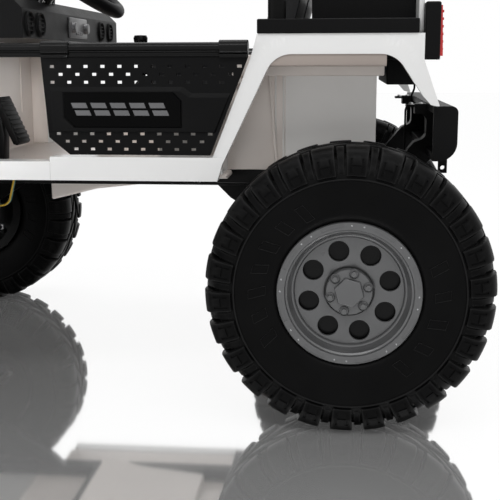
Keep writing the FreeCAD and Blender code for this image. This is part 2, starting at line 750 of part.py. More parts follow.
def front_body():
    wall_in = nose_half - g.skin
    back = firewall_x + g.floor_thick
    nose_top = g.firewall_top - g.hood_drop
    side = slab("nose_side", "side", [
        (back, sill_low), (back, g.firewall_top), (nose_face, nose_top),
        (nose_face, sill_low)], wall_in, nose_half)
    face = box("nose_face_block", (nose_face - g.floor_thick, -wall_in, sill_low),
               (nose_face, wall_in, nose_top))
    opening = box("nose_window", (nose_face - g.floor_thick - g.overrun,
                                  -grille_half, g.grille_low),
                  (nose_face + g.overrun, grille_half,
                   g.grille_low + g.grille_tall))
    corners = both("nose_corner", nose_corner())
    shell = fuse("front_shell_square", both("nose_side", side)
                 + [cut("nose_face_cut", face, opening)])
    node("front_shell", cut("front_shell", shell, fuse("nose_corners", corners)))
    hood_low = g.firewall_top
    brow = nose_face - g.hood_corner, g.hood_top - g.hood_drop
    hood = slab("hood_body", "side", [
        (back, hood_low), (back, g.hood_top), brow,
        (nose_face, g.hood_top - g.hood_drop - g.hood_corner),
        (nose_face, hood_low - g.hood_drop)], -nose_half, nose_half)
    rounded(hood, [((back, y, g.hood_top), (brow[0], y, brow[1]))
                   for y in (-nose_half, nose_half)], g.hood_round)
    node("hood", cut("hood", hood, fuse("hood_corners", corners)))
    cowl = box("cowl_block", (firewall_x, -sill_in, g.firewall_top),
               (back, sill_in, g.hood_top))
    node("cowl", cowl)
    bars = [box("grille_back", (nose_face - g.floor_thick, -grille_half,
                                g.grille_low),
                (nose_face - g.floor_thick / 2, grille_half,
                 g.grille_low + g.grille_tall))]
    for index in range(GRILLE_BARS):
        middle = g.grille_low + g.grille_tall / GRILLE_BARS * (index + 0.5)
        z = middle - g.grille_bar / 2
        bars.append(box("grille_bar%d" % index,
                        (nose_face - g.floor_thick / 2, -grille_half, z),
                        (nose_face + g.grille_out, grille_half, z + g.grille_bar)))
    node("grille", fuse("grille", bars))
    rim_in = g.lamp_r - g.lamp_bezel
    lamp = turned("headlamp_body", [
        (0, 0), (g.lamp_r, 0), (g.lamp_r, g.lamp_long), (rim_in, g.lamp_long),
        (rim_in - g.lamp_bezel, g.lamp_long - g.lamp_sink),
        (0, g.lamp_long - g.lamp_bezel)])
    lamp.Placement = Placement(Vector(), TURNS["X"])
    place(lamp, nose_face, lamp_side, g.lamp_high)
    pair("headlamp", lamp)


def nose_corner():
    """What a round corner takes away from the square corner of the nose."""
    x, y = nose_face - g.nose_round, nose_half - g.nose_round
    block = box("nose_corner_block", (x, y, sill_low - g.overrun),
                (nose_face + g.overrun, nose_half + g.overrun, g.hood_top))
    round_bar = rod("nose_corner_bar", "Z", g.nose_round,
                    g.hood_top - sill_low + g.overrun * 2, x, y,
                    sill_low - g.overrun)
    return cut("nose_corner", block, round_bar)


def windscreen():
    base_x = firewall_x + g.floor_thick
    top_x = base_x - g.screen_lean
    back_x = base_x - g.screen_thick
    top = g.cage_top - g.cage_r
    frame = slab("screen_block", "side", [
        (base_x, g.hood_top), (top_x, top), (top_x - g.screen_thick, top),
        (back_x, g.hood_top)], -screen_half, screen_half)
    lean_share = g.screen_lean / (top - g.hood_top)
    low = g.hood_top + g.screen_bar
    high = top - g.screen_bar

    def lean_at(z):
        return lean_share * (z - g.hood_top)

    hole = slab("screen_hole", "side", [
        (base_x - lean_at(low) + g.overrun, low),
        (base_x - lean_at(high) + g.overrun, high),
        (back_x - lean_at(high) - g.overrun, high),
        (back_x - lean_at(low) - g.overrun, low)],
        g.screen_bar - screen_half, screen_half - g.screen_bar)
    node("windscreen_frame", cut("windscreen_frame", frame, hole))
    middle = base_x - g.screen_thick / 2
    pane = slab("screen_pane", "side", [
        (middle - lean_at(low) + g.pane_thick / 2, low),
        (middle - lean_at(high) + g.pane_thick / 2, high),
        (middle - lean_at(high) - g.pane_thick / 2, high),
        (middle - lean_at(low) - g.pane_thick / 2, low)],
        g.screen_bar - screen_half, screen_half - g.screen_bar)
    node("windscreen_pane", pane)


def cage():
    rear = rear_axle + g.strip_top_out - g.cage_back
    low = g.flare_top + g.bed_wall
    top = g.cage_top - g.cage_r
    front = firewall_x + g.floor_thick - g.screen_lean - g.screen_thick
    hoop = tube("cage_hoop", g.cage_r, [
        (rear, -cage_half, low), (rear, -cage_half, top),
        (rear, cage_half, top), (rear, cage_half, low)], g.cage_bend)
    bars = both("cage_bar", rod("cage_bar", "X", g.cage_r, front - rear,
                                rear, cage_half - g.cage_rail_in, top))
    node("roll_cage", fuse("roll_cage", [hoop] + bars))


def bumpers():
    rail_end = nose_x - g.rail_front_back
    back = nose_x - g.bumper_thick
    low, high = g.bumper_low, g.bumper_low + g.bumper_tall
    bar = slab("bumper_bar", "side", [
        (back, low), (nose_x, low), (nose_x, high), (back, high)],
        -bumper_half, bumper_half)
    rounded(bar, [across((nose_x, z), -bumper_half, bumper_half)
                  for z in (low, high)] +
            [((nose_x, y, low), (nose_x, y, high))
             for y in (-bumper_half, bumper_half)], g.bumper_round)
    horns = both("bumper_horn", box(
        "bumper_horn", (rail_end, g.rail_inner, g.rail_low),
        (back, rail_out, sill_low)))
    horns += both("bumper_riser", box(
        "bumper_riser", (nose_face, g.rail_inner, g.rail_low),
        (back, rail_out, low + g.bumper_tall / 2)))
    ears = both("tow_ear", box(
        "tow_ear", (back, g.rail_inner, g.rail_low),
        (nose_x - g.skin, g.rail_inner + g.tow_ear_wide, low + g.bumper_round)))
    blank = fuse("front_bumper_blank", [bar] + horns + ears)
    holes = both("tow_hole", rod(
        "tow_hole", "Y", g.tow_r, g.tow_ear_wide + g.overrun * 2,
        (back + nose_x - g.skin) / 2, g.rail_inner - g.overrun,
        g.rail_low + g.tow_eye))
    node("front_bumper", cut("front_bumper", blank, fuse("tow_holes", holes)))
    rear_bumper()


def rear_bumper():
    face = rear_axle - g.rear_bumper_face_out
    inner = face + g.rear_bumper_thick
    low = g.rear_bumper_low
    high = low + g.rear_bumper_tall
    bar = slab("rear_bumper_bar", "side", [
        (face, low), (inner, low), (inner, high), (face, high)],
        -bumper_half, bumper_half)
    rounded(bar, [across((face, low), -bumper_half, bumper_half)], g.rear_low_round)
    rounded(bar, [across((face, high), -bumper_half, bumper_half)], g.rear_top_round)
    wall = g.channel_wall
    channel = box("rear_bumper_channel",
                  (inner - g.channel_deep, wall - bumper_half, low + wall),
                  (inner + g.overrun, bumper_half - wall, high - wall))
    rail_rear = rear_axle - g.rail_rear_out
    heel = rail_rear + g.bracket_heel
    nose = inner + g.bracket_nose
    deep = inner - g.channel_deep
    waist = [(inner, low + g.bracket_waist), (inner, high - g.bracket_head)]
    arm = slab("rear_bumper_arm", "side", [
        (heel, sill_low), (heel, sill_low + g.bracket_toe),
        (nose, low + g.bracket_foot)] + waist + [
        (nose, high - g.bracket_head), (nose, high - g.bracket_lid),
        (deep, high - g.bracket_lid), (deep, low + wall / 2),
        (rail_rear - g.bracket_toe, sill_low)], g.rail_inner, rail_out)
    rounded(arm, [across(corner, g.rail_inner, rail_out) for corner in waist],
            g.bracket_round)
    arms = both("rear_bumper_arm", arm)
    ear_rear = face + g.rear_ear_back
    ear_low = low - g.rear_ear_tall
    ear_in = rail_out - g.rear_ear_thick
    ears = both("rear_ear", box(
        "rear_ear", (ear_rear, ear_in, ear_low),
        (ear_rear + g.rear_ear_long, rail_out, low + g.rear_low_round)))
    eyes = both("rear_eye", rod(
        "rear_eye", "Y", g.rear_eye_r, g.rear_ear_thick + g.overrun * 2,
        ear_rear + g.rear_ear_long / 2, ear_in - g.overrun,
        ear_low + g.rear_eye_up))
    hollow = cut("rear_bumper_hollow", bar, channel)
    whole = fuse("rear_bumper_blank", [hollow] + arms + ears)
    node("rear_bumper", cut("rear_bumper", whole, fuse("rear_eyes", eyes)))


def tail_lamps():
    high = g.body_half - g.skin
    low = high - g.tail_lamp_wide
    case = box("tail_lamp_case", (tail_face - g.tail_lamp_deep, low, g.tail_lamp_low),
               (tail_face, high, g.tail_lamp_low + g.tail_lamp_tall))
    pair("tail_lamp", case)
    lens_face = tail_face - g.tail_lamp_deep
    lens = slab("tail_lens", "side", [
        (lens_face, g.tail_lamp_low + g.lens_edge),
        (lens_face, g.tail_lamp_low + g.tail_lamp_tall - g.lens_edge),
        (lens_face - g.lens_deep / 2, g.tail_lamp_low + g.tail_lamp_tall - g.lens_edge),
        (lens_face - g.lens_deep, g.tail_lamp_low + g.lens_edge)],
        low + g.lens_edge, high - g.lens_edge)
    pair("tail_lens", lens)


def steering_gear():
    lean = math.radians(float(sheet.get("column_lean_deg")))
    steer_x = firewall_x - g.steer_back
    dash_rear = firewall_x - g.dash_long
    turn = Rotation(Vector(0, 1, 0), -math.degrees(lean))

    def along(obj, distance):
        """Stand a piece on the column's line, at a distance below the wheel."""
        obj.Placement = Placement(Vector(), turn)
        place(obj, steer_x + distance * math.sin(lean), g.steer_y,
              g.steer_z - distance * math.cos(lean))

    grip = g.wheel_grip_r
    flat = grip * (math.sqrt(2) - 1)
    ring = turned("steer_ring", [
        (g.wheel_ring_r + a * one, b * two) for a, b, one, two in (
            (-1, 1, flat, grip), (1, 1, flat, grip), (1, 1, grip, flat),
            (1, -1, grip, flat), (1, -1, flat, grip), (-1, -1, flat, grip),
            (-1, -1, grip, flat), (-1, 1, grip, flat))])
    parts = [ring, rod("steer_hub", "Z", g.steer_hub_r, g.steer_hub_long, 0, 0,
                       -g.steer_hub_long)]
    for index in range(SPOKES):
        angle = index * 360 / SPOKES
        spoke = doc.addObject("Part::Box", "steer_spoke%d" % index)
        bind(spoke, "Length", g.wheel_ring_r)
        bind(spoke, "Width", g.wheel_grip_r * 2)
        bind(spoke, "Height", g.wheel_grip_r)
        turned_by = Rotation(Vector(0, 0, 1), angle)
        side = turned_by.multVec(Vector(0, -g.wheel_grip_r.value, 0))
        spoke.Placement = Placement(side, turned_by)
        bind(spoke, "Placement.Base.x", g.wheel_grip_r * (side.x / g.wheel_grip_r.value))
        bind(spoke, "Placement.Base.y", g.wheel_grip_r * (side.y / g.wheel_grip_r.value))
        bind(spoke, "Placement.Base.z", -g.wheel_grip_r)
        parts.append(spoke)
    wheel = fuse("steering_wheel", parts)
    along(wheel, as_size(0))
    node("steering_wheel", wheel)
    drop = g.column_long + g.steer_hub_long + g.face_gap
    column = rod("steering_column", "Z", g.column_r, g.column_long)
    along(column, drop)
    node("steering_column", column)
    block = slab("dash_body", "side", [
        (firewall_x, g.dash_low), (firewall_x, g.dash_top),
        (dash_rear + g.dash_lean, g.dash_top), (dash_rear, g.dash_top - g.dash_lean),
        (dash_rear, g.dash_low)], -dash_half, dash_half)
    passage = rod("dash_passage", "Z", g.column_r + g.face_gap, g.column_long)
    along(passage, drop)
    node("dashboard", cut("dashboard", block, passage))


def controls():
    foot = firewall_x - g.pedal_foot_back
    top = firewall_x - g.pedal_top_back
    pedal = slab("pedal_body", "side", [
        (foot, g.pedal_foot_z), (top, g.pedal_top_z),
        (top + g.pedal_thick, g.pedal_top_z),
        (foot + g.pedal_base_front, floor_top),
        (foot + g.pedal_base_rear, floor_top)],
        g.steer_y - g.pedal_wide / 2, g.steer_y + g.pedal_wide / 2)
    node("pedal", pedal)
    console_rear = plinth_front + g.plinth_lean
    console_front = rear_axle + g.console_front_ahead
    console = box("console_block", (console_rear, -g.console_half, floor_top),
                  (console_front, g.console_half, floor_top + g.console_tall))
    lever = rod("shift_lever", "Z", g.shift_r, g.shift_tall,
                (plinth_front + console_front) / 2, 0,
                floor_top + g.console_tall)
    node("console", fuse("console", [console, lever]))


def axles():
    reach = g.kingpin_out - g.yoke_r
    tubes = both("front_tube", rod("front_tube", "Y", g.axle_r, reach,
                                   front_axle, 0, hub_high))
    yokes = []
    for index, sign in enumerate((1, -1)):
        low = hub_high + sign * g.yoke_half
        base = low if sign > 0 else low - g.yoke_thick
        yokes += both("yoke%d" % index, rod(
            "yoke%d" % index, "Z", g.yoke_r, g.yoke_thick,
            front_axle, g.kingpin_out, base))
        yokes += both("yoke_arm%d" % index, box(
            "yoke_arm%d" % index,
            (front_axle - g.yoke_r, reach - g.yoke_thick - g.yoke_r, base),
            (front_axle + g.yoke_r, g.kingpin_out, base + g.yoke_thick)))
    cheek = both("yoke_cheek", box(
        "yoke_cheek", (front_axle - g.yoke_r, reach - g.yoke_thick - g.yoke_r,
                       hub_high - g.yoke_half),
        (front_axle + g.yoke_r, reach - g.yoke_r, hub_high + g.yoke_half)))
    node("front_axle", fuse("front_axle", tubes + yokes + cheek
                            + saddles("front", front_axle)))

    inner = hub_high - g.yoke_half + g.yoke_gap
    tall = g.yoke_half * 2 - g.yoke_gap * 2
    barrel = rod("knuckle_barrel", "Z", g.knuckle_r, tall,
                 front_axle, g.kingpin_out, inner)
    stub = rod("knuckle_stub", "Y", g.stub_r, wheel_out + g.rim_disc_in
               - g.kingpin_out, front_axle, g.kingpin_out, hub_high)
    arm_low = inner
    arm = box("knuckle_arm", (front_axle - g.steer_arm_long,
                              g.kingpin_out - g.steer_arm_wide / 2, arm_low),
              (front_axle, g.kingpin_out + g.steer_arm_wide / 2,
               arm_low + g.steer_arm_thick))
    pair("knuckle", fuse("knuckle", [barrel, stub, arm]))

    eye_x = front_axle - g.steer_arm_long + g.steer_arm_wide / 2
    tie_z = arm_low + g.steer_arm_thick + g.face_gap
    eyes = both("tie_eye", rod("tie_eye", "Z", g.tie_eye_r, g.tie_r * 2,
                               eye_x, g.kingpin_out, tie_z))
    bar = rod("tie_bar", "Y", g.tie_r, g.kingpin_out * 2, eye_x, -g.kingpin_out,
              tie_z + g.tie_r)
    node("tie_rod", fuse("tie_rod", eyes + [bar]))

    shaft = rod("rear_shaft", "Y", g.stub_r, (wheel_out + g.rim_disc_in) * 2,
                rear_axle, -(wheel_out + g.rim_disc_in), hub_high)
    casing = rod("rear_casing", "Y", g.axle_r, g.kingpin_out * 2,
                 rear_axle, -g.kingpin_out, hub_high)
    boxes = both("rear_gear", rod("rear_gear", "Y", g.gear_r, g.gear_wide,
                                  rear_axle, g.kingpin_out - g.gear_inset,
                                  hub_high))
    motors = both("rear_motor", rod(
        "rear_motor", "Y", g.gear_motor_r, g.gear_motor_long,
        rear_axle - g.gear_r - g.skin,
        g.kingpin_out - g.gear_inset - g.gear_motor_long, hub_high))
    links = both("rear_motor_link", box(
        "rear_motor_link",
        (rear_axle - g.gear_r - g.skin - g.gear_motor_r,
         g.kingpin_out - g.gear_inset, hub_high - g.gear_motor_r),
        (rear_axle, g.kingpin_out - g.gear_wide, hub_high + g.gear_motor_r)))
    node("rear_axle", fuse("rear_axle", [shaft, casing] + boxes + motors + links
                           + saddles("rear", rear_axle)))


def saddles(name, axle):
    """Spring seats on top of an axle tube."""
    return both(name + "_saddle", box(
        name + "_saddle",
        (axle - g.strut_r, g.strut_out - g.strut_r, hub_high - g.arm_tall / 2),
        (axle + g.strut_r, g.strut_out + g.strut_r, hub_high + g.axle_r + g.skin)))


def suspension(name, axle, way):
    """Struts and links from the rails down to an axle."""
    top = g.rail_low
    strut_low = hub_high + g.axle_r + g.skin
    struts = both(name + "_strut", rod(
        name + "_strut", "Z", g.strut_r, top - strut_low,
        axle, g.strut_out, strut_low))
    near = axle + way * g.strut_r
    far = axle + way * g.arm_reach
    low = g.strut_out - g.arm_wide / 2
    corners = [(near, hub_high + g.arm_tall / 2), (far - way * g.arm_tall, top),
               (far + way * g.arm_tall, top), (far, top - g.arm_tall),
               (near, hub_high - g.arm_tall / 2)]
    links = both(name + "_link", slab(name + "_link", "side", corners,
                                      low, low + g.arm_wide))
    whole = fuse(name, struts + links)
    return whole


def lug_ring(name, side, flank):
    """Side lugs round one half of a tread; side is 1 or -1 along the axle."""
    half = g.tyre_width / 2
    outer = [(radius, side * level) for radius, level in flank]
    body = doc.addObject("PartDesign::Body", name)
    body.AllowCompound = True
    sketch = outline(body, "side", [(g.lug_foot_r, side * (half - g.lug_root))]
                     + outer + [
        (lug_tip, side * (half - g.lug_slope)),
        (lug_tip, side * g.lug_gap / 2), (g.lug_root_r, side * g.lug_gap / 2)], 0)
    quarter_turn = Rotation(Vector(0, 1, 0), side * 90 / LUGS)
    sketch.AttachmentOffset = Placement(Vector(), quarter_turn)
    pad = body.newObject("PartDesign::Pad", name + "_pad")
    pad.Profile = sketch
    pad.Midplane = True
    bind(pad, "Length", g.lug_wide)
    ring = body.newObject("PartDesign::PolarPattern", name + "_ring")
    ring.Originals = [pad]
    axle = [f for f in body.Origin.OriginFeatures if f.Role == "Z_Axis"][0]
    ring.Axis = (axle, [""])
    ring.Angle = 360
    ring.Occurrences = LUGS
    body.Tip = ring
    return body


def tyre():
    """A tyre about its own axle: a faceted carcass and two staggered lug rings."""
    edge = g.tyre_width / 2
    half = edge - g.lug_stand
    bead = edge - g.rim_face_in
    bore_r = g.bead_r / math.cos(math.pi / LUGS)
    profile = [(bore_r, -bead), (g.bulge_r, -edge),
               (g.shoulder_r, g.tread_deep - half), (g.shoulder_r, half - g.tread_deep),
               (g.bulge_r, half), (bore_r, bead)]
    carcass = faceted("carcass", profile)
    outer = [(g.lug_foot_r, edge - g.lug_foot_deep), (g.lug_bend, edge)]
    inner = [(g.lug_foot_r, edge - g.lug_foot_flush)]
    whole = fuse("tyre_whole", [carcass, lug_ring("lugs_out", 1, outer),
                                lug_ring("lugs_in", -1, inner)])
    bore = doc.addObject("Part::Prism", "tyre_bore")
    bore.Polygon = LUGS
    bore.Placement = Placement(Vector(), Rotation(Vector(0, 0, 1), -90 / LUGS))
    bind(bore, "Circumradius", bore_r)
    bind(bore, "Height", g.tyre_width + g.overrun * 2)
    place(bore, 0, 0, -g.tyre_width / 2 - g.overrun)
    return cut("tyre_master", whole, bore)


def faceted(name, profile):
    """A profile of radius and height taken round the Z axis in flat facets."""
    step = 2 * math.pi / LUGS
    turn = -step / 4
    rings = []
    for radius, level in profile:
        radius, level = as_size(radius).value, as_size(level).value
        rings.append([Vector(radius * math.cos(turn + step * index),
                             radius * math.sin(turn + step * index), level)
                      for index in range(LUGS + 1)])
    faces = [Part.Face(Part.makePolygon(rings[0])), Part.Face(Part.makePolygon(rings[-1]))]
    for low, high in zip(rings, rings[1:]):
        for index in range(LUGS):
            faces.append(Part.Face(Part.makePolygon([
                low[index], low[index + 1], high[index + 1], high[index],
                low[index]])))
    shell = Part.makeShell(faces)
    shell.sewShape()
    piece = doc.addObject("Part::Feature", name)
    piece.Shape = Part.makeSolid(Part.Shell(shell.Faces))
    return piece


def rim():
    """A rim about its own axle, its outer face towards +Z."""
    half = g.tyre_width / 2
    face = half - g.rim_face_in
    back = half - g.rim_inner_in
    disc = half - g.rim_disc_in
    disc_back = disc - g.rim_disc_thick
    hub_in = g.hub_out - wheel_out
    bore = g.stub_r + g.stub_gap
    inside = g.rim_flange - g.rim_wall
    outside = g.bead_r - g.face_gap
    plain = turned("rim_turned", [
        (bore, hub_in), (g.boss_r, hub_in), (g.boss_r, disc_back),
        (inside, disc_back), (inside, -back),
        (outside, -back), (outside, face), (g.rim_flange, face),
        (g.rim_disc_r, disc), (bore, disc)])
    cap = prism("hub_cap", g.cap_sides_r, CAP_SIDES, g.cap_long, disc)
    hexagon = prism("hub_hexagon", g.cap_hex, HEX_SIDES, g.cap_hex_long, disc + g.cap_long)
    long = g.rim_disc_thick + g.overrun * 2
    window = prism("rim_window", g.window_r, WINDOW_SIDES, long,
                   disc_back - g.overrun)
    windows = ring_of("rim_windows", window, g.window_ring, WINDOWS)
    return fuse("rim_master", [cut("rim_cut", plain, windows), cap, hexagon])


def prism(name, radius, sides, height, level):
    """A straight bar with equal flat sides, standing on the Z axis."""
    piece = doc.addObject("Part::Prism", name)
    piece.Polygon = sides
    bind(piece, "Circumradius", radius)
    bind(piece, "Height", height)
    bind(piece, "Placement.Base.z", level)
    return piece


def ring_of(name, source, radius, count):
    """Equal copies of a piece in a ring round the Z axis, half a step on."""
    doc.recompute()
    shapes = []
    for index in range(count):
        piece = source.Shape.copy()
        piece.translate(Vector(radius.value, 0, 0))
        piece.rotate(Vector(), Vector(0, 0, 1), (index + 0.5) * 360 / count)
        shapes.append(piece)
    ring = doc.addObject("Part::Feature", name)
    ring.Shape = Part.makeCompound(shapes)
    return ring


def wheels():
    masters = {"tyre": tyre(), "rim": rim()}
    for end, axle in (("front", front_axle), ("rear", rear_axle)):
        for side, sign in (("left", 1), ("right", -1)):
            for kind, master in masters.items():
                label = "%s_%s_%s" % (kind, end, side)
                piece = doc.addObject("Part::Compound", label)
                piece.Links = [master]
                piece.Placement = Placement(Vector(), Rotation(Vector(1, 0, 0),
                                                               -90 * sign))
                place(piece, axle, sign * wheel_out, hub_high)
                node(label, piece)


def leads():
    """The leads that hang under the floor and behind the seat box."""
    rear = rear_axle + g.front_lead_ahead
    front = rear + g.front_lead_long
    stem = sill_low - g.lead_stem
    for label, y in (("front_lead_inner", g.front_lead_out - g.front_lead_pitch / 2),
                     ("front_lead_outer", g.front_lead_out + g.front_lead_pitch / 2)):
        node(label, tube(label, g.lead_r, [
            (rear, y, sill_low), (rear, y, stem),
            (rear + g.front_lead_drift, y, g.front_lead_low),
            (front - g.front_lead_drift, y, g.front_lead_low),
            (front, y, stem), (front, y, sill_low)], g.lead_bend))
    top = rear_axle - g.rear_lead_back
    foot = rear_axle - g.rear_lead_foot
    node("rear_lead", tube("rear_lead", g.lead_r, [
        (top, g.rear_lead_out, g.tail_beam_low),
        (top, g.rear_lead_out, g.tail_beam_low - g.lead_stem),
        (foot, g.rear_lead_out, g.rear_lead_mid),
        (foot, g.rear_lead_out, sill_low)], g.lead_bend))


chassis()
floor()
seat_box()
seats()
flares()
bed()
door()
front_body()
windscreen()
cage()
bumpers()
tail_lamps()
steering_gear()
controls()
axles()
node("front_suspension", suspension("front_suspension", front_axle, -1))
node("rear_suspension", suspension("rear_suspension", rear_axle, 1))
leads()
wheels()
doc.recompute()

for item in doc.Objects:
    if "Invalid" in item.State or "Error" in item.State:
        raise RuntimeError("%s is %s" % (item.Label, item.State))
os.makedirs("parts", exist_ok=True)
for label, piece in NODES.items():
    shape = piece.Shape
    if shape.isNull() or not shape.isValid():
        raise RuntimeError(label + " has no valid shape")
for label, piece in NODES.items():
    piece.Shape.exportStep("parts/%s.step" % label)
    extent = piece.Shape.BoundBox
    print("%-24s %d solids x %.0f..%.0f y %.0f..%.0f z %.0f..%.0f" % (
        label, len(piece.Shape.Solids), extent.XMin, extent.XMax,
        extent.YMin, extent.YMax, extent.ZMin, extent.ZMax))
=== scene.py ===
"""Looks of a child's electric off-road ride-on: finishes, mouldings, wheels, trim, studio."""

import json
import logging
import math
from dataclasses import dataclass
from enum import Enum
from typing import Dict, Iterable, List, Optional, Sequence, Tuple, Union

import bmesh
import bpy
from mathutils import Matrix, Vector

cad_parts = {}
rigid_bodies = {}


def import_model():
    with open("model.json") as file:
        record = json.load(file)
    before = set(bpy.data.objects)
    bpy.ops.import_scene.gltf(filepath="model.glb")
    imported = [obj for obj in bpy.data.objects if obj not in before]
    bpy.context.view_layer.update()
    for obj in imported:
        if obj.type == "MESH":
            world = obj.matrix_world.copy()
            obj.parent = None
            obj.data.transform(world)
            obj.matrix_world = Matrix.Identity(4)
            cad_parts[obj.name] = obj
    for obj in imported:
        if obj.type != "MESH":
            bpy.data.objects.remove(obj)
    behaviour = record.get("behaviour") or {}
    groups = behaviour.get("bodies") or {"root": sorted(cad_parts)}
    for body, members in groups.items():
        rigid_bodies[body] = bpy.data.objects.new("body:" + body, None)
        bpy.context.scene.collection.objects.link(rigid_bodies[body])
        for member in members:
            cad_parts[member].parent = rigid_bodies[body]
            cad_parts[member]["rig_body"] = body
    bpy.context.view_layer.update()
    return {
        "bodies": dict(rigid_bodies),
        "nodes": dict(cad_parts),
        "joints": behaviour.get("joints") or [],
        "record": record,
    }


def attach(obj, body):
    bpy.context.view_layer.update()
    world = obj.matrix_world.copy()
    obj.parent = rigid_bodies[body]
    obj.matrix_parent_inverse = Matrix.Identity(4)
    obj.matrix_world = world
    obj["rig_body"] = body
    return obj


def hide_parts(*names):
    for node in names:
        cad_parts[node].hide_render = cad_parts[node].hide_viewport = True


logging.basicConfig(level=logging.INFO, format="%(message)s")
LOG = logging.getLogger("ride_on")

Colour = Tuple[float, float, float]
Point = Tuple[float, float, float]
Station = Tuple[float, float]
Key = Union[str, int]
Mesh = bmesh.types.BMesh
Socket = bpy.types.NodeSocket

ORIGIN = (0.0, 0.0, 0.0)
AHEAD = (1.0, 0.0, 0.0)
BEHIND = (-1.0, 0.0, 0.0)
AXLE = (0.0, 0.0, 1.0)
WHITE = (1.0, 1.0, 1.0, 1.0)
MERGE = 0.00001
FINE_MERGE = 0.000002


def about_z(angle: float) -> Matrix:
    """The turn by an angle in radians about the local Z axis."""
    return Matrix.Rotation(angle, 4, "Z")


def shift(x: float, y: float, z: float) -> Matrix:
    """The move by a distance along each axis."""
    return Matrix.Translation((x, y, z))


def facing(axis: Sequence[float]) -> Matrix:
    """The turn that takes the local Z axis to a direction."""
    return Vector(axis).to_track_quat("Z", "Y").to_matrix().to_4x4()


def feed(node: bpy.types.Node, values: Dict[Key, object],
         links: Optional[Dict[Key, Socket]] = None) -> bpy.types.Node:
    """Set some of a node's inputs and link sockets into others.

    Args:
        node: the node whose inputs they are.
        values: what inputs are set to, by name or number.
        links: the sockets that feed inputs, by name or number.

    Returns:
        The same node.
    """
    for key, value in values.items():
        node.inputs[key].default_value = value
    for key, socket in (links or {}).items():
        node.id_data.links.new(socket, node.inputs[key])
    return node


def add_node(tree: bpy.types.NodeTree, kind: str, values: Optional[Dict[Key, object]] = None,
             links: Optional[Dict[Key, Socket]] = None, **options: str) -> bpy.types.Node:
    """Add a shader node to a tree.

    Args:
        tree: the node tree.
        kind: the node's type without the word that all of them begin with.
        values: what inputs are set to, by name or number.
        links: the sockets that feed inputs, by name or number.
        options: the node's own settings, set first.

    Returns:
        The new node.
    """
    made = tree.nodes.new("ShaderNode" + kind)
    for name, value in options.items():
        setattr(made, name, value)
    return feed(made, values or {}, links)


class Grain(Enum):
    """The small surface texture that a finish is moulded or sewn with."""

    SMOOTH = "smooth"
    PEBBLE = "pebble"
    HIDE = "hide"
    FINE = "fine"


class Side(Enum):
    """A side of the vehicle; its value is the sign of Y there."""

    LEFT = 1
    RIGHT = -1

    @property
    def word(self) -> str:
        """The side's name as the frame's nodes spell it."""
        return self.name.lower()


@dataclass(frozen=True)
class Surface:
    """What every finish has: a name, the slot it dresses, a colour and a gloss."""

    name: str
    slot: str
    colour: Colour
    roughness: float

    def material(self) -> bpy.types.Material:
        """Make the finish's material once and hand out the same one after that.

        Returns:
            The node material of this finish.
        """
        made = bpy.data.materials.get(self.name)
        if made is None:
            made = bpy.data.materials.new(self.name)
            made.use_nodes = True
            self.shade(made.node_tree.nodes["Principled BSDF"])
        return made

    def shade(self, shader: bpy.types.Node) -> None:
        """Set up the surface shader; each kind of finish does it in its own way."""
        raise NotImplementedError

    @staticmethod
    def noise(tree: bpy.types.NodeTree, scale: float, detail: float = 2.0) -> Socket:
        """A noise over the piece's own coordinates."""
        place = add_node(tree, "TexCoord").outputs["Object"]
        return add_node(tree, "TexNoise", {"Scale": scale, "Detail": detail},
                        {"Vector": place}).outputs["Fac"]

    @staticmethod
    def ramp(noise: Socket, low: Sequence[float], high: Sequence[float],
             reach: Station = (0.0, 1.0)) -> Socket:
        """Let a colour run with a noise.

        Args:
            noise: the socket that carries the noise.
            low: the colour where the noise is weak.
            high: the colour where it is strong.
            reach: the strengths that count as weak and as strong.

        Returns:
            The socket that carries the colour.
        """
        made = add_node(noise.id_data, "ValToRGB", links={"Fac": noise})
        for index, colour in enumerate((low, high)):
            made.color_ramp.elements[index].position = reach[index]
            made.color_ramp.elements[index].color = (*colour, 1.0)
        return made.outputs["Color"]

    @staticmethod
    def span(noise: Socket, low: float, high: float) -> Socket:
        """Spread a noise between two values."""
        made = add_node(noise.id_data, "MapRange", {"To Min": low, "To Max": high},
                        {"Value": noise})
        return made.outputs["Result"]


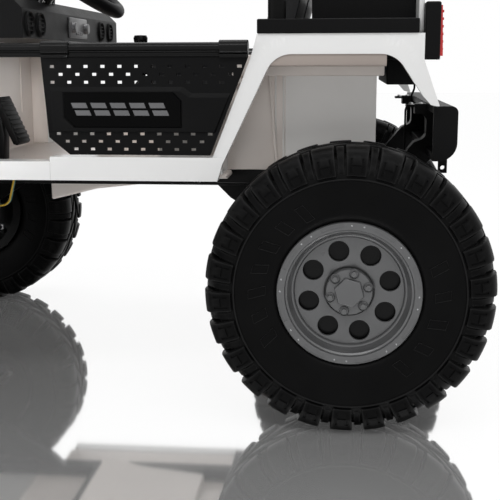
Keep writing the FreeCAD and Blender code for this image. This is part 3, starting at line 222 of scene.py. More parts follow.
@dataclass(frozen=True)
class Finish(Surface):
    """A moulded, painted or sewn finish with its colour drift, gloss drift and grain."""

    metallic: float = 0.0
    coat: float = 0.0
    drift: float = 0.06
    drift_scale: float = 9.0
    gloss_drift: float = 0.05
    grain: Grain = Grain.FINE
    grain_scale: float = 900.0
    grain_depth: float = 0.00006
    specular: float = 0.5
    # Sharp outer edges are painted lighter by this much as a painted highlight, over the
    # pointiness range below.
    edge_wear: float = 0.0
    coat_roughness: float = 0.08
    drift_reach: Station = (0.3, 0.7)
    sharp_reach: Station = (0.52, 0.62)

    def shade(self, shader: bpy.types.Node) -> None:
        """Let colour and gloss drift over the surface and raise its grain.

        Args:
            shader: the material's surface shader.
        """
        tree = shader.id_data
        low = [c * (1.0 - self.drift) for c in self.colour]
        high = [min(1.0, c * (1.0 + self.drift)) for c in self.colour]
        paint = self.ramp(self.noise(tree, self.drift_scale, 4.0), low, high,
                          self.drift_reach)
        gloss = self.span(self.noise(tree, self.drift_scale * 4.0),
                          max(0.02, self.roughness - self.gloss_drift),
                          min(1.0, self.roughness + self.gloss_drift))
        # The base colour takes the painted highlight on sharp edges where the finish has one.
        feed(shader, {"Metallic": self.metallic, "Coat Weight": self.coat,
                      "Coat Roughness": self.coat_roughness,
                      "Specular IOR Level": self.specular},
             {"Base Color": self._worn(paint), "Roughness": gloss})
        if self.grain is not Grain.SMOOTH:
            feed(shader, {}, {"Normal": self._bump(tree)})

    def _worn(self, colour: Socket) -> Socket:
        """Paint a highlight: let the colour go lighter on sharp outer edges.

        Args:
            colour: the socket that carries the colour so far.

        Returns:
            The socket that carries the colour with its painted highlight on sharp edges.
        """
        if not self.edge_wear:
            return colour
        tree = colour.id_data
        low, high = self.sharp_reach
        shape = add_node(tree, "NewGeometry").outputs["Pointiness"]
        edge = add_node(tree, "MapRange", {"From Min": low, "From Max": high, "To Max": 1.0},
                        {"Value": shape})
        # Mix the painted highlight's pale colour in where the edges are sharp.
        factor, before, highlight_input, result = 0, 6, 7, 2
        mix = add_node(tree, "Mix", {highlight_input: (*[self.edge_wear] * 3, 1.0)},
                       {factor: edge.outputs["Result"], before: colour}, data_type="RGBA")
        return mix.outputs[result]

    def _bump(self, tree: bpy.types.NodeTree) -> Socket:
        """Raise the finish's grain.

        Args:
            tree: the material's node tree.

        Returns:
            The socket that carries the bumped normal.
        """
        if self.grain is Grain.FINE:
            height = self.noise(tree, self.grain_scale, 3.0)
        else:
            place = add_node(tree, "TexCoord").outputs["Object"]
            feature = "SMOOTH_F1" if self.grain is Grain.PEBBLE else "F1"
            height = add_node(tree, "TexVoronoi", {"Scale": self.grain_scale},
                              {"Vector": place}, feature=feature).outputs["Distance"]
        bump = add_node(tree, "Bump", {"Distance": self.grain_depth, "Strength": 1.0},
                        {"Height": height})
        return bump.outputs["Normal"]


@dataclass(frozen=True)
class ClearFinish(Surface):
    """A clear or tinted moulding that light goes through."""

    through: float
    alpha: float = 1.0
    index: float = 1.45
    drift_scale: float = 12.0
    drift: float = 0.05

    def shade(self, shader: bpy.types.Node) -> None:
        """Let light through and let colour and gloss drift a little.

        Args:
            shader: the material's surface shader.
        """
        noise = self.noise(shader.id_data, self.drift_scale)
        low = [c * (1.0 - self.drift) for c in self.colour]
        gloss = self.span(noise, self.roughness, self.roughness + self.drift)
        feed(shader, {"IOR": self.index, "Transmission Weight": self.through,
                      "Alpha": self.alpha},
             {"Base Color": self.ramp(noise, low, self.colour), "Roughness": gloss})


GLOSS_WHITE = Finish("gloss_white", "white_body", (0.78, 0.78, 0.775), 0.22, coat=0.3,
                     drift=0.015, grain_scale=260.0, grain_depth=0.00002)
SHELL_WHITE = Finish("shell_white", "white_body", (0.76, 0.745, 0.725), 0.36,
                     drift=0.03, grain_scale=420.0, grain_depth=0.00003)
# A warmer, slightly darker copy of the shell's white: painted shade for the inner faces of the
# footwell, console and seat box.
SHELL_WARM = Finish("shell_warm", "white_body", (0.76, 0.695, 0.65), 0.3,
                    drift=0.05, grain_scale=420.0, grain_depth=0.00003)
# A dark copy of the shell's white: painted shade for the bed liner under the cargo bed.
SHELL_SHADE = Finish("shell_shade", "white_body", (0.34, 0.29, 0.26), 0.5,
                     drift=0.05, grain_scale=420.0, grain_depth=0.00003)
TRIM_WHITE = Finish("trim_white", "white_body", (0.75, 0.75, 0.74), 0.4)
BLACK_PLATE = Finish("black_plate", "black_plastic", (0.0024, 0.0024, 0.0025), 0.3,
                     drift=0.05, grain_scale=1500.0, grain_depth=0.00002, specular=0.03)
BLACK_GRAIN = Finish("black_grain", "black_plastic", (0.0056, 0.0056, 0.0058), 0.42,
                     drift=0.1, grain=Grain.PEBBLE, grain_scale=620.0,
                     grain_depth=0.00012, specular=0.06)
BLACK_COAT = Finish("black_coat", "black_steel", (0.0045, 0.0045, 0.0045), 0.34,
                    drift=0.1, grain_scale=1400.0, grain_depth=0.00004, specular=0.08)
BLACK_SATIN = Finish("black_satin", "black_plastic", (0.0035, 0.0035, 0.0036), 0.24,
                     drift=0.08, gloss_drift=0.03, grain_scale=1500.0,
                     grain_depth=0.00003, specular=0.14)
DARK_GREY = Finish("dark_grey", "dark_grey_plastic", (0.075, 0.075, 0.08), 0.48,
                   grain=Grain.PEBBLE, grain_scale=700.0, grain_depth=0.00012)
INLAY_GREY = Finish("inlay_grey", "dark_grey_plastic", (0.115, 0.115, 0.12), 0.35,
                    grain_scale=1500.0, grain_depth=0.00003)
RIM_GREY = Finish("rim_grey", "grey_rim", (0.110, 0.111, 0.113), 0.3, metallic=0.4,
                  drift=0.05, grain_scale=2200.0, grain_depth=0.00002)
RIM_BRIGHT = Finish("rim_bright", "grey_rim", (0.36, 0.365, 0.37), 0.3, metallic=0.6,
                    drift=0.05, grain_scale=2200.0, grain_depth=0.00002)
# The rubber's sharp lug edges carry a painted highlight.
RUBBER = Finish("rubber", "tyre_rubber", (0.0030, 0.0030, 0.0031), 0.38, drift=0.25,
                drift_scale=14.0, gloss_drift=0.09, grain_scale=1100.0,
                grain_depth=0.0001, specular=0.05, edge_wear=0.035)
SEAT_HIDE = Finish("seat_hide", "seat_black", (0.011, 0.011, 0.012), 0.42,
                   drift=0.12, grain=Grain.HIDE, grain_scale=420.0,
                   grain_depth=0.00025, specular=0.25)
PIPING = Finish("piping", "seat_black", (0.045, 0.045, 0.047), 0.4, specular=0.2)
ZINC = Finish("zinc", "steel", (0.52, 0.52, 0.53), 0.3, metallic=1.0,
              drift=0.08, grain_scale=1200.0, grain_depth=0.00003)
REFLECTOR = Finish("reflector", "steel", (0.75, 0.76, 0.78), 0.08, metallic=1.0,
                   gloss_drift=0.02, grain=Grain.SMOOTH)
CASE_GREY = Finish("case_grey", "battery_grey", (0.11, 0.11, 0.12), 0.5)
SPRING = Finish("spring", "black_steel", (0.012, 0.012, 0.012), 0.3, specular=0.3)
LEAD_YELLOW = Finish("lead_yellow", "black_plastic", (0.48, 0.30, 0.01), 0.35)
LEAD_TEAL = Finish("lead_teal", "black_plastic", (0.01, 0.16, 0.15), 0.35)
PANE = ClearFinish("pane", "clear_pane", (0.86, 0.9, 0.91), 0.03, 0.9, alpha=0.35)
LAMP_CLEAR = ClearFinish("lamp_clear", "lamp_clear", (0.92, 0.94, 0.96), 0.04, 0.92)
LAMP_RED = ClearFinish("lamp_red", "lamp_red", (0.15, 0.003, 0.005), 0.16, 0.1)

SLOT_FINISHES = {finish.slot: finish for finish in (
    GLOSS_WHITE, BLACK_GRAIN, BLACK_COAT, RIM_GREY, RUBBER, DARK_GREY, SEAT_HIDE, ZINC,
    PANE, LAMP_CLEAR, LAMP_RED, CASE_GREY)}
CHOSEN = {LEAD_YELLOW.name, LEAD_TEAL.name}


class Shapes:
    """Small modelling helpers that all sub-assemblies share."""

    @staticmethod
    def loop(bm: Mesh, points: Iterable[Point]) -> Tuple[list, list]:
        """Draw a closed line through points and give its vertices and its edges."""
        verts = [bm.verts.new(point) for point in points]
        return verts, [bm.edges.new(pair) for pair in zip(verts, verts[1:] + verts[:1])]

    @staticmethod
    def lathe(profile: Sequence[Station], steps: int) -> Mesh:
        """A closed solid from a profile turned once round the local Z axis.

        Args:
            profile: the (radius, level) stations in order.
            steps: number of steps round the axis.

        Returns:
            The new mesh.
        """
        bm = bmesh.new()
        verts, edges = Shapes.loop(bm, [(radius, 0.0, level) for radius, level in profile])
        bmesh.ops.spin(bm, geom=verts + edges, cent=ORIGIN, axis=AXLE, angle=math.tau,
                       steps=steps, use_merge=True, use_duplicate=False)
        Shapes.close(bm)
        return bm

    @staticmethod
    def ring(bm: Mesh, count: int) -> None:
        """Repeat all of a mesh round the local Z axis until there are so many."""
        geom = bm.verts[:] + bm.edges[:] + bm.faces[:]
        bmesh.ops.spin(bm, geom=geom, cent=ORIGIN, axis=AXLE,
                       angle=math.tau * (count - 1) / count, steps=count - 1,
                       use_merge=False, use_duplicate=True)

    @staticmethod
    def push(bm: Mesh, faces: List[bmesh.types.BMFace], way: Point,
             open_up: bool = False) -> None:
        """Extrude faces and move what has grown.

        Args:
            bm: mesh that has the faces.
            faces: the faces to extrude.
            way: how far it moves along each axis.
            open_up: whether the faces themselves go.
        """
        grown = bmesh.ops.extrude_face_region(bm, geom=faces)["geom"]
        if open_up:
            left = [face for face in faces if face.is_valid]
            bmesh.ops.delete(bm, geom=left, context="FACES_ONLY")
        verts = [v for v in grown if isinstance(v, bmesh.types.BMVert)]
        bmesh.ops.translate(bm, vec=way, verts=verts)

    @staticmethod
    def soften(bm: Mesh, offset: float, segments: int = 2, least: float = 35.0) -> None:
        """Round all edges of a mesh that are sharper than an angle.

        Args:
            bm: mesh to round.
            offset: width of the rounding.
            segments: steps across it.
            least: smallest angle between faces, in degrees, that is rounded.
        """
        sharp = [e for e in bm.edges
                 if len(e.link_faces) == 2 and e.calc_face_angle(0.0) > math.radians(least)]
        bmesh.ops.bevel(bm, geom=sharp, offset=offset, offset_type="OFFSET",
                        segments=segments, profile=0.5, affect="EDGES", material=-1,
                        clamp_overlap=True)

    @staticmethod
    def join(bm: Mesh, other: Mesh, matrix: Matrix = Matrix.Identity(4)) -> None:
        """Add a moved copy of another mesh and free that one.

        Args:
            bm: mesh that takes the copy.
            other: mesh that is copied and freed.
            matrix: where the copy goes.
        """
        other.transform(matrix)
        carrier = bpy.data.meshes.new("carrier")
        other.to_mesh(carrier)
        bm.from_mesh(carrier)
        bpy.data.meshes.remove(carrier)
        other.free()

    @staticmethod
    def together(first: Mesh, *others: Mesh) -> Mesh:
        """Add meshes to a first one and free them.

        Args:
            first: mesh that takes the others.
            others: meshes that are copied and freed.

        Returns:
            The first mesh.
        """
        for other in others:
            Shapes.join(first, other)
        return first

    @staticmethod
    def close(bm: Mesh) -> None:
        """Merge doubles and point all faces outwards."""
        bmesh.ops.remove_doubles(bm, verts=bm.verts[:], dist=FINE_MERGE)
        bmesh.ops.recalc_face_normals(bm, faces=bm.faces[:])

    @staticmethod
    def block(low: Point, high: Point, offset: float, segments: int = 2) -> Mesh:
        """A box with rounded edges.

        Args:
            low: lowest corner.
            high: highest corner.
            offset: width of the rounding.
            segments: steps across the rounding.

        Returns:
            The new mesh.
        """
        bm = bmesh.new()
        bmesh.ops.create_cube(bm, size=1.0)
        span = [b - a for a, b in zip(low, high)]
        middle = [(a + b) / 2.0 for a, b in zip(low, high)]
        bmesh.ops.scale(bm, vec=span, verts=bm.verts[:])
        bmesh.ops.translate(bm, vec=middle, verts=bm.verts[:])
        Shapes.soften(bm, offset, segments)
        return bm

    @staticmethod
    def slab(points: Sequence[Station], low: float, high: float, offset: float,
             segments: int = 2) -> Mesh:
        """A side-view outline given its width across the vehicle.

        Args:
            points: the outline's (x, z) corners.
            low: Y where it begins.
            high: Y where it ends.
            offset: width of the edges' rounding.
            segments: steps across the rounding.

        Returns:
            The new mesh.
        """
        bm = bmesh.new()
        face = bm.faces.new([bm.verts.new((x, low, z)) for x, z in points])
        Shapes.push(bm, [face], (0.0, high - low, 0.0))
        bmesh.ops.recalc_face_normals(bm, faces=bm.faces[:])
        Shapes.soften(bm, offset, segments, 20.0)
        return bm

    @staticmethod
    def cone(sides: int, radii: Station, depth: float, offset: float, segments: int = 2,
             least: float = 25.0) -> Mesh:
        """A bar about the local Z axis with eased edges.

        Args:
            sides: number of flats round it.
            radii: its radius at the lower and at the upper end.
            depth: its length.
            offset: width of the edges' rounding.
            segments: steps across the rounding.
            least: smallest angle between faces, in degrees, that is rounded.

        Returns:
            The new mesh.
        """
        bm = bmesh.new()
        bmesh.ops.create_cone(bm, cap_ends=True, segments=sides, radius1=radii[0],
                              radius2=radii[1], depth=depth)
        Shapes.soften(bm, offset, segments, least)
        return bm

    @staticmethod
    def rod(start: Point, end: Point, radius: float) -> Mesh:
        """A round bar between two points with eased ends.

        Args:
            start: centre of one end.
            end: centre of the other.
            radius: the bar's radius.

        Returns:
            The new mesh.
        """
        axis = Vector(end) - Vector(start)
        bm = Shapes.cone(32, (radius, radius), axis.length, 0.0006, least=50.0)
        bm.transform(Matrix.Translation(Vector(start) + axis / 2.0) @ facing(axis))
        return bm

    @staticmethod
    def turned(profile: Sequence[Station], start: Point, axis: Point,
               steps: int = 48) -> Mesh:
        """A closed ring profile turned about an axis through a point.

        Args:
            profile: the (radius, distance along the axis) stations.
            start: the point where the distance is 0.
            axis: direction of the axis.
            steps: number of steps round it.

        Returns:
            The new mesh.
        """
        bm = Shapes.lathe(profile, steps)
        bm.transform(Matrix.Translation(start) @ facing(axis))
        return bm

    @staticmethod
    def bolt(spot: Point, axis: Point, radius: float = 0.0045) -> Mesh:
        """A flanged hexagonal bolt head.

        Args:
            spot: centre of its seat.
            axis: direction in which it stands.
            radius: reach of the hexagon's corners.

        Returns:
            The new mesh.
        """
        wide = radius * 1.3
        bm = Shapes.lathe([(0.0, -0.0004), (wide, -0.0004), (wide, 0.0006),
                           (radius * 1.1, 0.0010), (0.0, 0.0010)], 24)
        head = Shapes.cone(6, (radius, radius * 0.94), radius * 0.9, radius * 0.1)
        Shapes.join(bm, head, shift(0.0, 0.0, radius * 0.45))
        bm.transform(Matrix.Translation(spot) @ facing(axis))
        return bm

    @staticmethod
    def pair(bm: Mesh, name: str, body: str, finish: Surface,
             stands_for: Sequence[str] = ()) -> None:
        """Turn a left-hand mesh into a left and a right piece.

        Args:
            bm: the left-hand mesh, which is freed.
            name: the pieces' name without their side.
            body: the body's name, with {side} where it has one for each side.
            finish: the finish that dresses both.
            stands_for: CAD nodes that they replace, with {side}.
        """
        for side in Side:
            half = bm.copy()
            if side is Side.RIGHT:
                half.transform(Matrix.Diagonal((1.0, -1.0, 1.0, 1.0)))
                bmesh.ops.reverse_faces(half, faces=half.faces[:])
            Shapes.piece(half, f"{name}_{side.word}", body.format(side=side.word), finish,
                         [node.format(side=side.word) for node in stands_for])
        bm.free()

    @staticmethod
    def piece(bm: Mesh, name: str, body: str, finish: Surface,
              stands_for: Iterable[str] = (), smooth: float = 35.0) -> bpy.types.Object:
        """Turn a mesh into a finished piece that rides on a body.

        Args:
            bm: the mesh, which is freed.
            name: the piece's name.
            body: the CAD body that it rides on.
            finish: the finish that dresses it.
            stands_for: CAD nodes that it replaces.
            smooth: edges sharper than this, in degrees, stay crisp.

        Returns:
            The new object.
        """
        for face in bm.faces:
            face.smooth = True
        for edge in bm.edges:
            edge.smooth = edge.calc_face_angle(0.0) < math.radians(smooth)
        mesh = bpy.data.meshes.new(name)
        bm.to_mesh(mesh)
        bm.free()
        made = bpy.data.objects.new(name, mesh)
        bpy.context.scene.collection.objects.link(made)
        mesh.materials.append(finish.material())
        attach(made, body)
        if stands_for:
            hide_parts(*stands_for)
        LOG.info("piece %s: %d faces", name, len(mesh.polygons))
        return made


@dataclass
class Moulding:
    """A CAD node dressed as a moulding: its faces joined up and its edges rounded."""

    node: str
    finish: Surface
    radius: float = 0.003
    segments: int = 3
    least: float = 28.0
    shortest: float = 0.0
    trim: Optional[Point] = None

    def build(self, frame: dict) -> None:
        """Round a merged copy of the node, which then stands for it.
        """
        source = frame["nodes"][self.node]
        bm = bmesh.new()
        bm.from_mesh(source.data)
        bmesh.ops.remove_doubles(bm, verts=bm.verts[:], dist=MERGE)
        if self.trim:
            bmesh.ops.bisect_plane(bm, geom=bm.verts[:] + bm.edges[:] + bm.faces[:],
                                   plane_co=self.trim, plane_no=self.trim,
                                   clear_outer=True)
            rims = [e for e in bm.edges if e.is_boundary]
            bmesh.ops.holes_fill(bm, edges=rims, sides=0)
        bmesh.ops.dissolve_limit(bm, angle_limit=math.radians(1.0), verts=bm.verts[:],
                                 edges=bm.edges[:])
        made = Shapes.piece(bm, self.node + "_dressed", source["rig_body"], self.finish,
                            (self.node,), smooth=self.least)
        rounding = made.modifiers.new("rounding", "BEVEL")
        rounding.width = self.radius
        rounding.segments = self.segments
        rounding.limit_method = "ANGLE"
        rounding.angle_limit = math.radians(self.least)
        if self.shortest:
            rounding.limit_method = "WEIGHT"
            self._weigh(made.data)
        rounding.profile = 0.5
        rounding.use_clamp_overlap = True
        rounding.harden_normals = True

    def dress(self, frame: dict) -> None:
        """Leave the node's shape alone and only give it the finish."""
        for slot in frame["nodes"][self.node].material_slots:
            slot.material = self.finish.material()

    def _weigh(self, mesh: bpy.types.Mesh) -> None:
        """Choose only the sharp edges that are long enough for the rounding.

        Args:
            mesh: the piece's mesh.
        """
        bm = bmesh.new()
        bm.from_mesh(mesh)
        layer = bm.edges.layers.float.new("bevel_weight_edge")
        for edge in bm.edges:
            sharp = edge.calc_face_angle(0.0) > math.radians(self.least)
            edge[layer] = 1.0 if sharp and edge.calc_length() > self.shortest else 0.0
        bm.to_mesh(mesh)
        bm.free()


@dataclass
class Tyre:
    """A knobbly tyre for a ride-on wheel, modelled about its own axle."""

    bore: float = 0.0995
    lugs: int = 26
    lug_turn: float = math.radians(8.9)
    rib_turn: float = math.radians(3.0)
    columns: int = 11
    sipe: float = 0.0013
    crown: Station = (0.0050, 0.0270)
    crown_skew: float = 9.0
    mark_spot: Station = (0.1255, 0.0699)
    mark_tall: Station = (0.024, 0.021)
    mark_wide: float = 0.0125
    mark_line: float = 0.0011
    mark_arcs: Tuple[Tuple[float, int, float], ...] = ((31.5, 7, 15.1), (219.0, 5, 17.8))

    def carcass(self) -> Mesh:
        """The casing with its bead, bulge and the ridge round each sidewall.

        Returns:
            The new mesh.
        """
        side = [(self.bore, 0.048), (self.bore, 0.0600), (0.1015, 0.0632),
                (0.1045, 0.0656), (0.1100, 0.0678), (0.1220, 0.0704),
                (0.1360, 0.0722), (0.1500, 0.0727), (0.1553, 0.0724),
                (0.1562, 0.0738), (0.1580, 0.0739), (0.1590, 0.0720),
                (0.1650, 0.0700), (0.1730, 0.0660), (0.1790, 0.0600),
                (0.1840, 0.0520), (0.1865, 0.0400), (0.1870, 0.0150)]
        return Shapes.lathe(side + [(r, -z) for r, z in reversed(side)], 156)

    def shoulder_lug(self) -> Mesh:
        """One lug that wraps the shoulder, with its H-shaped sipe.

        Returns:
            The lug, centred on the local X axis.
        """
        bm = self._swept([(0.1612, 0.0690), (0.1612, 0.0738), (0.1628, 0.0750),
                          (0.1662, 0.0749), (0.1738, 0.0741), (0.1764, 0.0736),
                          (0.1852, 0.0706), (0.1905, 0.0672), (0.1950, 0.0618),
                          (0.1984, 0.0540), (0.2000, 0.0440), (0.2000, 0.0330),
                          (0.1985, 0.0310), (0.1868, 0.0300), (0.1800, 0.0600)],
                         self.lug_turn, self.columns, 0.0011)
        self._cut_sipes(bm)
        return bm

    def _swept(self, section: Sequence[Station], turn: float, steps: int,
               offset: float) -> Mesh:
        """Sweep a closed section a little way round the axle.

        Args:
            section: (radius, level) stations of the section.
            turn: how far round it goes.
            steps: number of steps.
            offset: width of the edges' rounding.

        Returns:
            The closed sweep, centred on the local X axis.
        """
        bm = bmesh.new()
        face = bm.faces.new([bm.verts.new((r, 0.0, z)) for r, z in section])
        bmesh.ops.spin(bm, geom=[face], cent=ORIGIN, axis=AXLE, angle=turn, steps=steps,
                       use_merge=False, use_duplicate=False)
        bmesh.ops.rotate(bm, cent=ORIGIN, matrix=Matrix.Rotation(-turn / 2.0, 3, "Z"),
                         verts=bm.verts[:])
        bmesh.ops.recalc_face_normals(bm, faces=bm.faces[:])
        Shapes.soften(bm, offset)
        return bm

    def _cut_sipes(self, bm: Mesh) -> None:
        """Sink the two upright slits and the slit that joins them.

        Args:
            bm: the lug.
        """
        step = self.lug_turn / self.columns
        left, right = 2, 8
        chosen = []
        for face in bm.faces:
            middle = face.calc_center_median()
            reach = math.hypot(middle.x, middle.y)
            column = math.floor(math.atan2(middle.y, middle.x) / step + self.columns / 2.0)
            upright = column in (left, right) and 0.1660 < reach < 0.1855
            across = left < column < right and 0.1738 < reach < 0.1765
            if face.normal.z > 0.4 and (upright or across):
                chosen.append(face)
        Shapes.push(bm, chosen, (0.0, 0.0, -self.sipe), open_up=True)

    def gap_rib(self) -> Mesh:
        """The lower rib that stands in each gap of the shoulder."""
        return self._swept([(0.1630, 0.0660), (0.1630, 0.0704), (0.1650, 0.0708),
                            (0.1730, 0.0672), (0.1810, 0.0614), (0.1880, 0.0540),
                            (0.1938, 0.0450), (0.1972, 0.0360), (0.1978, 0.0290),
                            (0.1850, 0.0290), (0.1760, 0.0560)], self.rib_turn, 4, 0.0008)

    def crown_block(self) -> Mesh:
        """One block of the crown, skewed like a chevron's arm.

        Returns:
            The block, near the local X axis.
        """
        low, high = self.crown
        middle = (low + high) / 2.0
        bm = self._swept([(0.1870, low), (0.1990, low), (0.1998, middle), (0.1990, high),
                          (0.1870, high)], self.lug_turn * 0.9, 6, 0.0012)
        for vert in bm.verts:
            turn = self.crown_skew * (vert.co.z - middle)
            vert.co = Matrix.Rotation(turn, 3, "Z") @ vert.co
        return bm

    def side_mark(self, height: float) -> Mesh:
        """A raised outline of a slanted bar on the sidewall.

        Args:
            height: its size along the radius.

        Returns:
            The outline, lying at the local origin and facing +Z.
        """
        bm = bmesh.new()
        bmesh.ops.create_cube(bm, size=1.0)
        bmesh.ops.scale(bm, vec=(height, self.mark_wide, 0.004), verts=bm.verts[:])
        for vert in bm.verts:
            vert.co.y += vert.co.x * 0.25
        top = [f for f in bm.faces if f.normal.z > 0.9]
        bmesh.ops.inset_region(bm, faces=top, thickness=self.mark_line, depth=0.0)
        bmesh.ops.translate(bm, vec=(0.0, 0.0, -self.mark_line),
                            verts=[v for f in top for v in f.verts])
        return bm

    def marks(self, bm: Mesh) -> None:
        """Two arcs of plain raised bars on the sidewall.

        Args:
            bm: half of the tyre's pattern, which takes them.
        """
        out, level = self.mark_spot
        lean = Matrix.Rotation(math.radians(-7.0), 4, "Y")
        for start, count, pitch in self.mark_arcs:
            for index in range(count):
                turn = about_z(math.radians(start + index * pitch))
                Shapes.join(bm, self.side_mark(self.mark_tall[index % 2]),
                            turn @ shift(out, 0.0, level) @ lean)

    def build(self) -> Mesh:
        """The whole tyre about its own axle, outer side towards +Z.

        Returns:
            The new mesh.
        """
        half_pitch = about_z(math.tau / self.lugs / 2.0)
        half = bmesh.new()
        Shapes.join(half, self.shoulder_lug())
        Shapes.join(half, self.gap_rib(), half_pitch)
        Shapes.join(half, self.crown_block(), half_pitch)
        Shapes.ring(half, self.lugs)
        self.marks(half)
        bm = half.copy()
        Shapes.join(bm, half, half_pitch @ Matrix.Diagonal((1.0, 1.0, -1.0, 1.0)))
        Shapes.join(bm, self.carcass())
        Shapes.close(bm)
        return bm


@dataclass
class Rim:
    """A beadlock-style moulded rim with eight round windows, about its own axle."""

    ring_out: float = 0.0990
    ring_in: float = 0.0876
    face: float = 0.0660
    disc: float = 0.0450
    disc_r: float = 0.0754
    thick: float = 0.0060
    windows: int = 8
    window_r: float = 0.0143
    window_ring: float = 0.0573
    slot_half: float = 10.3
    slot_ring: Station = (0.0918, 0.0968)
    slot_deep: float = 0.0009
    cap_r: float = 0.0324
    hollow_r: float = 0.0345
    hexagon_r: float = 0.0220
    nut_ring: float = 0.0269
    nuts: int = 6
    stud_ring: float = 0.0942
    stud_phase: float = 23.5
    stud_apart: float = 5.1

    def lock_ring(self) -> Mesh:
        """The outer ring, its stepped wall down to the disc, and its long shallow windows.

        Returns:
            The new mesh.
        """
        steps = [(self.ring_out, 0.0012), (self.ring_out - 0.0010, 0.0), (0.0976, 0.0),
                 (0.0968, 0.0), (0.0918, 0.0), (0.0910, 0.0), (self.ring_in + 0.0008, 0.0),
                 (self.ring_in, 0.0008), (self.ring_in - 0.0006, 0.0050), (0.0846, 0.0066),
                 (0.0842, 0.0100), (0.0806, 0.0142), (0.0790, 0.0175), (0.0768, 0.0183),
                 (0.0762, 0.0197)]
        back = self.disc - self.thick
        profile = [(self.ring_out, 0.0500)] + [(r, self.face - drop) for r, drop in steps]
        profile += [(self.disc_r, self.disc), (self.disc_r, back), (0.0860, back - 0.004),
                    (0.0930, 0.0460)]
        bm = Shapes.lathe(profile, 192)
        pitch = 360.0 / self.windows
        near_in, far_out = self.slot_ring
        chosen = []
        for flat in bm.faces:
            middle = flat.calc_center_median()
            reach = math.hypot(middle.x, middle.y)
            turn = math.degrees(math.atan2(middle.y, middle.x)) % pitch
            near = min(turn, pitch - turn) < self.slot_half
            if flat.normal.z > 0.95 and near_in < reach < far_out and near:
                chosen.append(flat)
        Shapes.push(bm, chosen, (0.0, 0.0, -self.slot_deep), open_up=True)
        return bm

    def windowed_disc(self) -> Mesh:
        """The disc: one sector round its window, repeated and given its thickness.

        Returns:
            The new mesh.
        """
        bm = bmesh.new()
        sector = math.tau / self.windows
        arc = [(-sector / 2.0) + sector * k / 8.0 for k in range(9)]
        falls = [self.disc_r + (self.hollow_r - self.disc_r) * k / 6.0 for k in range(1, 6)]
        border = [(self.disc_r, a) for a in arc]
        border += [(r, sector / 2.0) for r in falls]
        border += [(self.hollow_r, a) for a in reversed(arc)]
        border += [(r, -sector / 2.0) for r in reversed(falls)]
        _, rim = Shapes.loop(bm, [(r * math.cos(a), r * math.sin(a), 0.0) for r, a in border])
        hole = bmesh.ops.create_circle(bm, cap_ends=False, segments=len(border),
                                       radius=self.window_r,
                                       matrix=shift(self.window_ring, 0.0, 0.0))
        inner = list({e for v in hole["verts"] for e in v.link_edges})
        bmesh.ops.bridge_loops(bm, edges=rim + inner)
        Shapes.ring(bm, self.windows)
        bmesh.ops.remove_doubles(bm, verts=bm.verts[:], dist=MERGE)
        bmesh.ops.recalc_face_normals(bm, faces=bm.faces[:])
        if sum(f.normal.z for f in bm.faces) < 0.0:
            bmesh.ops.reverse_faces(bm, faces=bm.faces[:])
        bmesh.ops.translate(bm, vec=(0.0, 0.0, self.disc), verts=bm.verts[:])
        bmesh.ops.solidify(bm, geom=bm.faces[:], thickness=self.thick)
        bmesh.ops.recalc_face_normals(bm, faces=bm.faces[:])
        Shapes.soften(bm, 0.0009, 2, 60.0)
        return bm

    def cap(self) -> Mesh:
        """The hub cap with its hexagonal centre, standing in a round hollow.

        Returns:
            The new mesh.
        """
        rises = [(self.hollow_r, -0.0001), (self.hollow_r, -0.0045),
                 (self.cap_r + 0.0006, -0.0045), (self.cap_r, -0.0040), (self.cap_r, 0.0062),
                 (self.cap_r - 0.0012, 0.0078), (self.cap_r - 0.0045, 0.0085), (0.0, 0.0088),
                 (0.0, -0.0060), (self.hollow_r, -0.0060)]
        bm = Shapes.lathe([(r, self.disc + rise) for r, rise in rises], 96)
        centre = Shapes.cone(6, (self.hexagon_r, self.hexagon_r - 0.0016), 0.0062, 0.0009, 3)
        Shapes.join(bm, centre, shift(0.0, 0.0, self.disc + 0.0108))
        return bm

    def nut(self) -> Mesh:
        """One wheel nut on its round seat.

        Returns:
            The new mesh.
        """
        bm = Shapes.lathe([(0.0, -0.001), (0.0069, -0.001), (0.0069, 0.0024),
                           (0.0061, 0.0032), (0.0054, 0.0018), (0.0, 0.0018)], 32)
        Shapes.join(bm, Shapes.cone(6, (0.0042, 0.0040), 0.0060, 0.0006),
                    shift(0.0, 0.0, 0.0035))
        return bm

    def studs(self) -> Mesh:
        """The pairs of small round heads on the outer ring.

        Returns:
            The new mesh.
        """
        bm = bmesh.new()
        flat = Matrix.Diagonal((1.0, 1.0, 0.6, 1.0))
        pitch = 360.0 / self.windows
        for index in range(self.windows):
            for offset in (-self.stud_apart, self.stud_apart):
                turn = about_z(math.radians(index * pitch + self.stud_phase + offset))
                head = bmesh.new()
                bmesh.ops.create_uvsphere(head, u_segments=12, v_segments=8, radius=0.0013)
                Shapes.join(bm, head, turn @ shift(self.stud_ring, 0.0, self.face) @ flat)
        return bm

    def barrel(self) -> Mesh:
        """The dark well behind the disc with its back plate."""
        back = self.disc - self.thick
        return Shapes.lathe([(0.0205, back - 0.0030), (0.0740, back - 0.0030),
                             (0.0815, 0.0350), (0.0815, -0.0690), (0.0980, -0.0690),
                             (0.0980, -0.0640), (0.0865, -0.0600), (0.0865, 0.0340),
                             (0.0925, 0.0455), (0.0860, 0.0350), (0.0830, 0.0350),
                             (0.0790, back - 0.0075), (0.0205, back - 0.0075)], 96)

    def build(self) -> Mesh:
        """The painted face of the rim about its own axle, towards +Z.

        Returns:
            The new mesh.
        """
        bm = Shapes.together(self.lock_ring(), self.windowed_disc(), self.cap())
        for index in range(self.nuts):
            turn = about_z(math.radians(1.0 + index * 60.0))
            Shapes.join(bm, self.nut(), turn @ shift(self.nut_ring, 0.0, self.disc + 0.0080))
        return bm


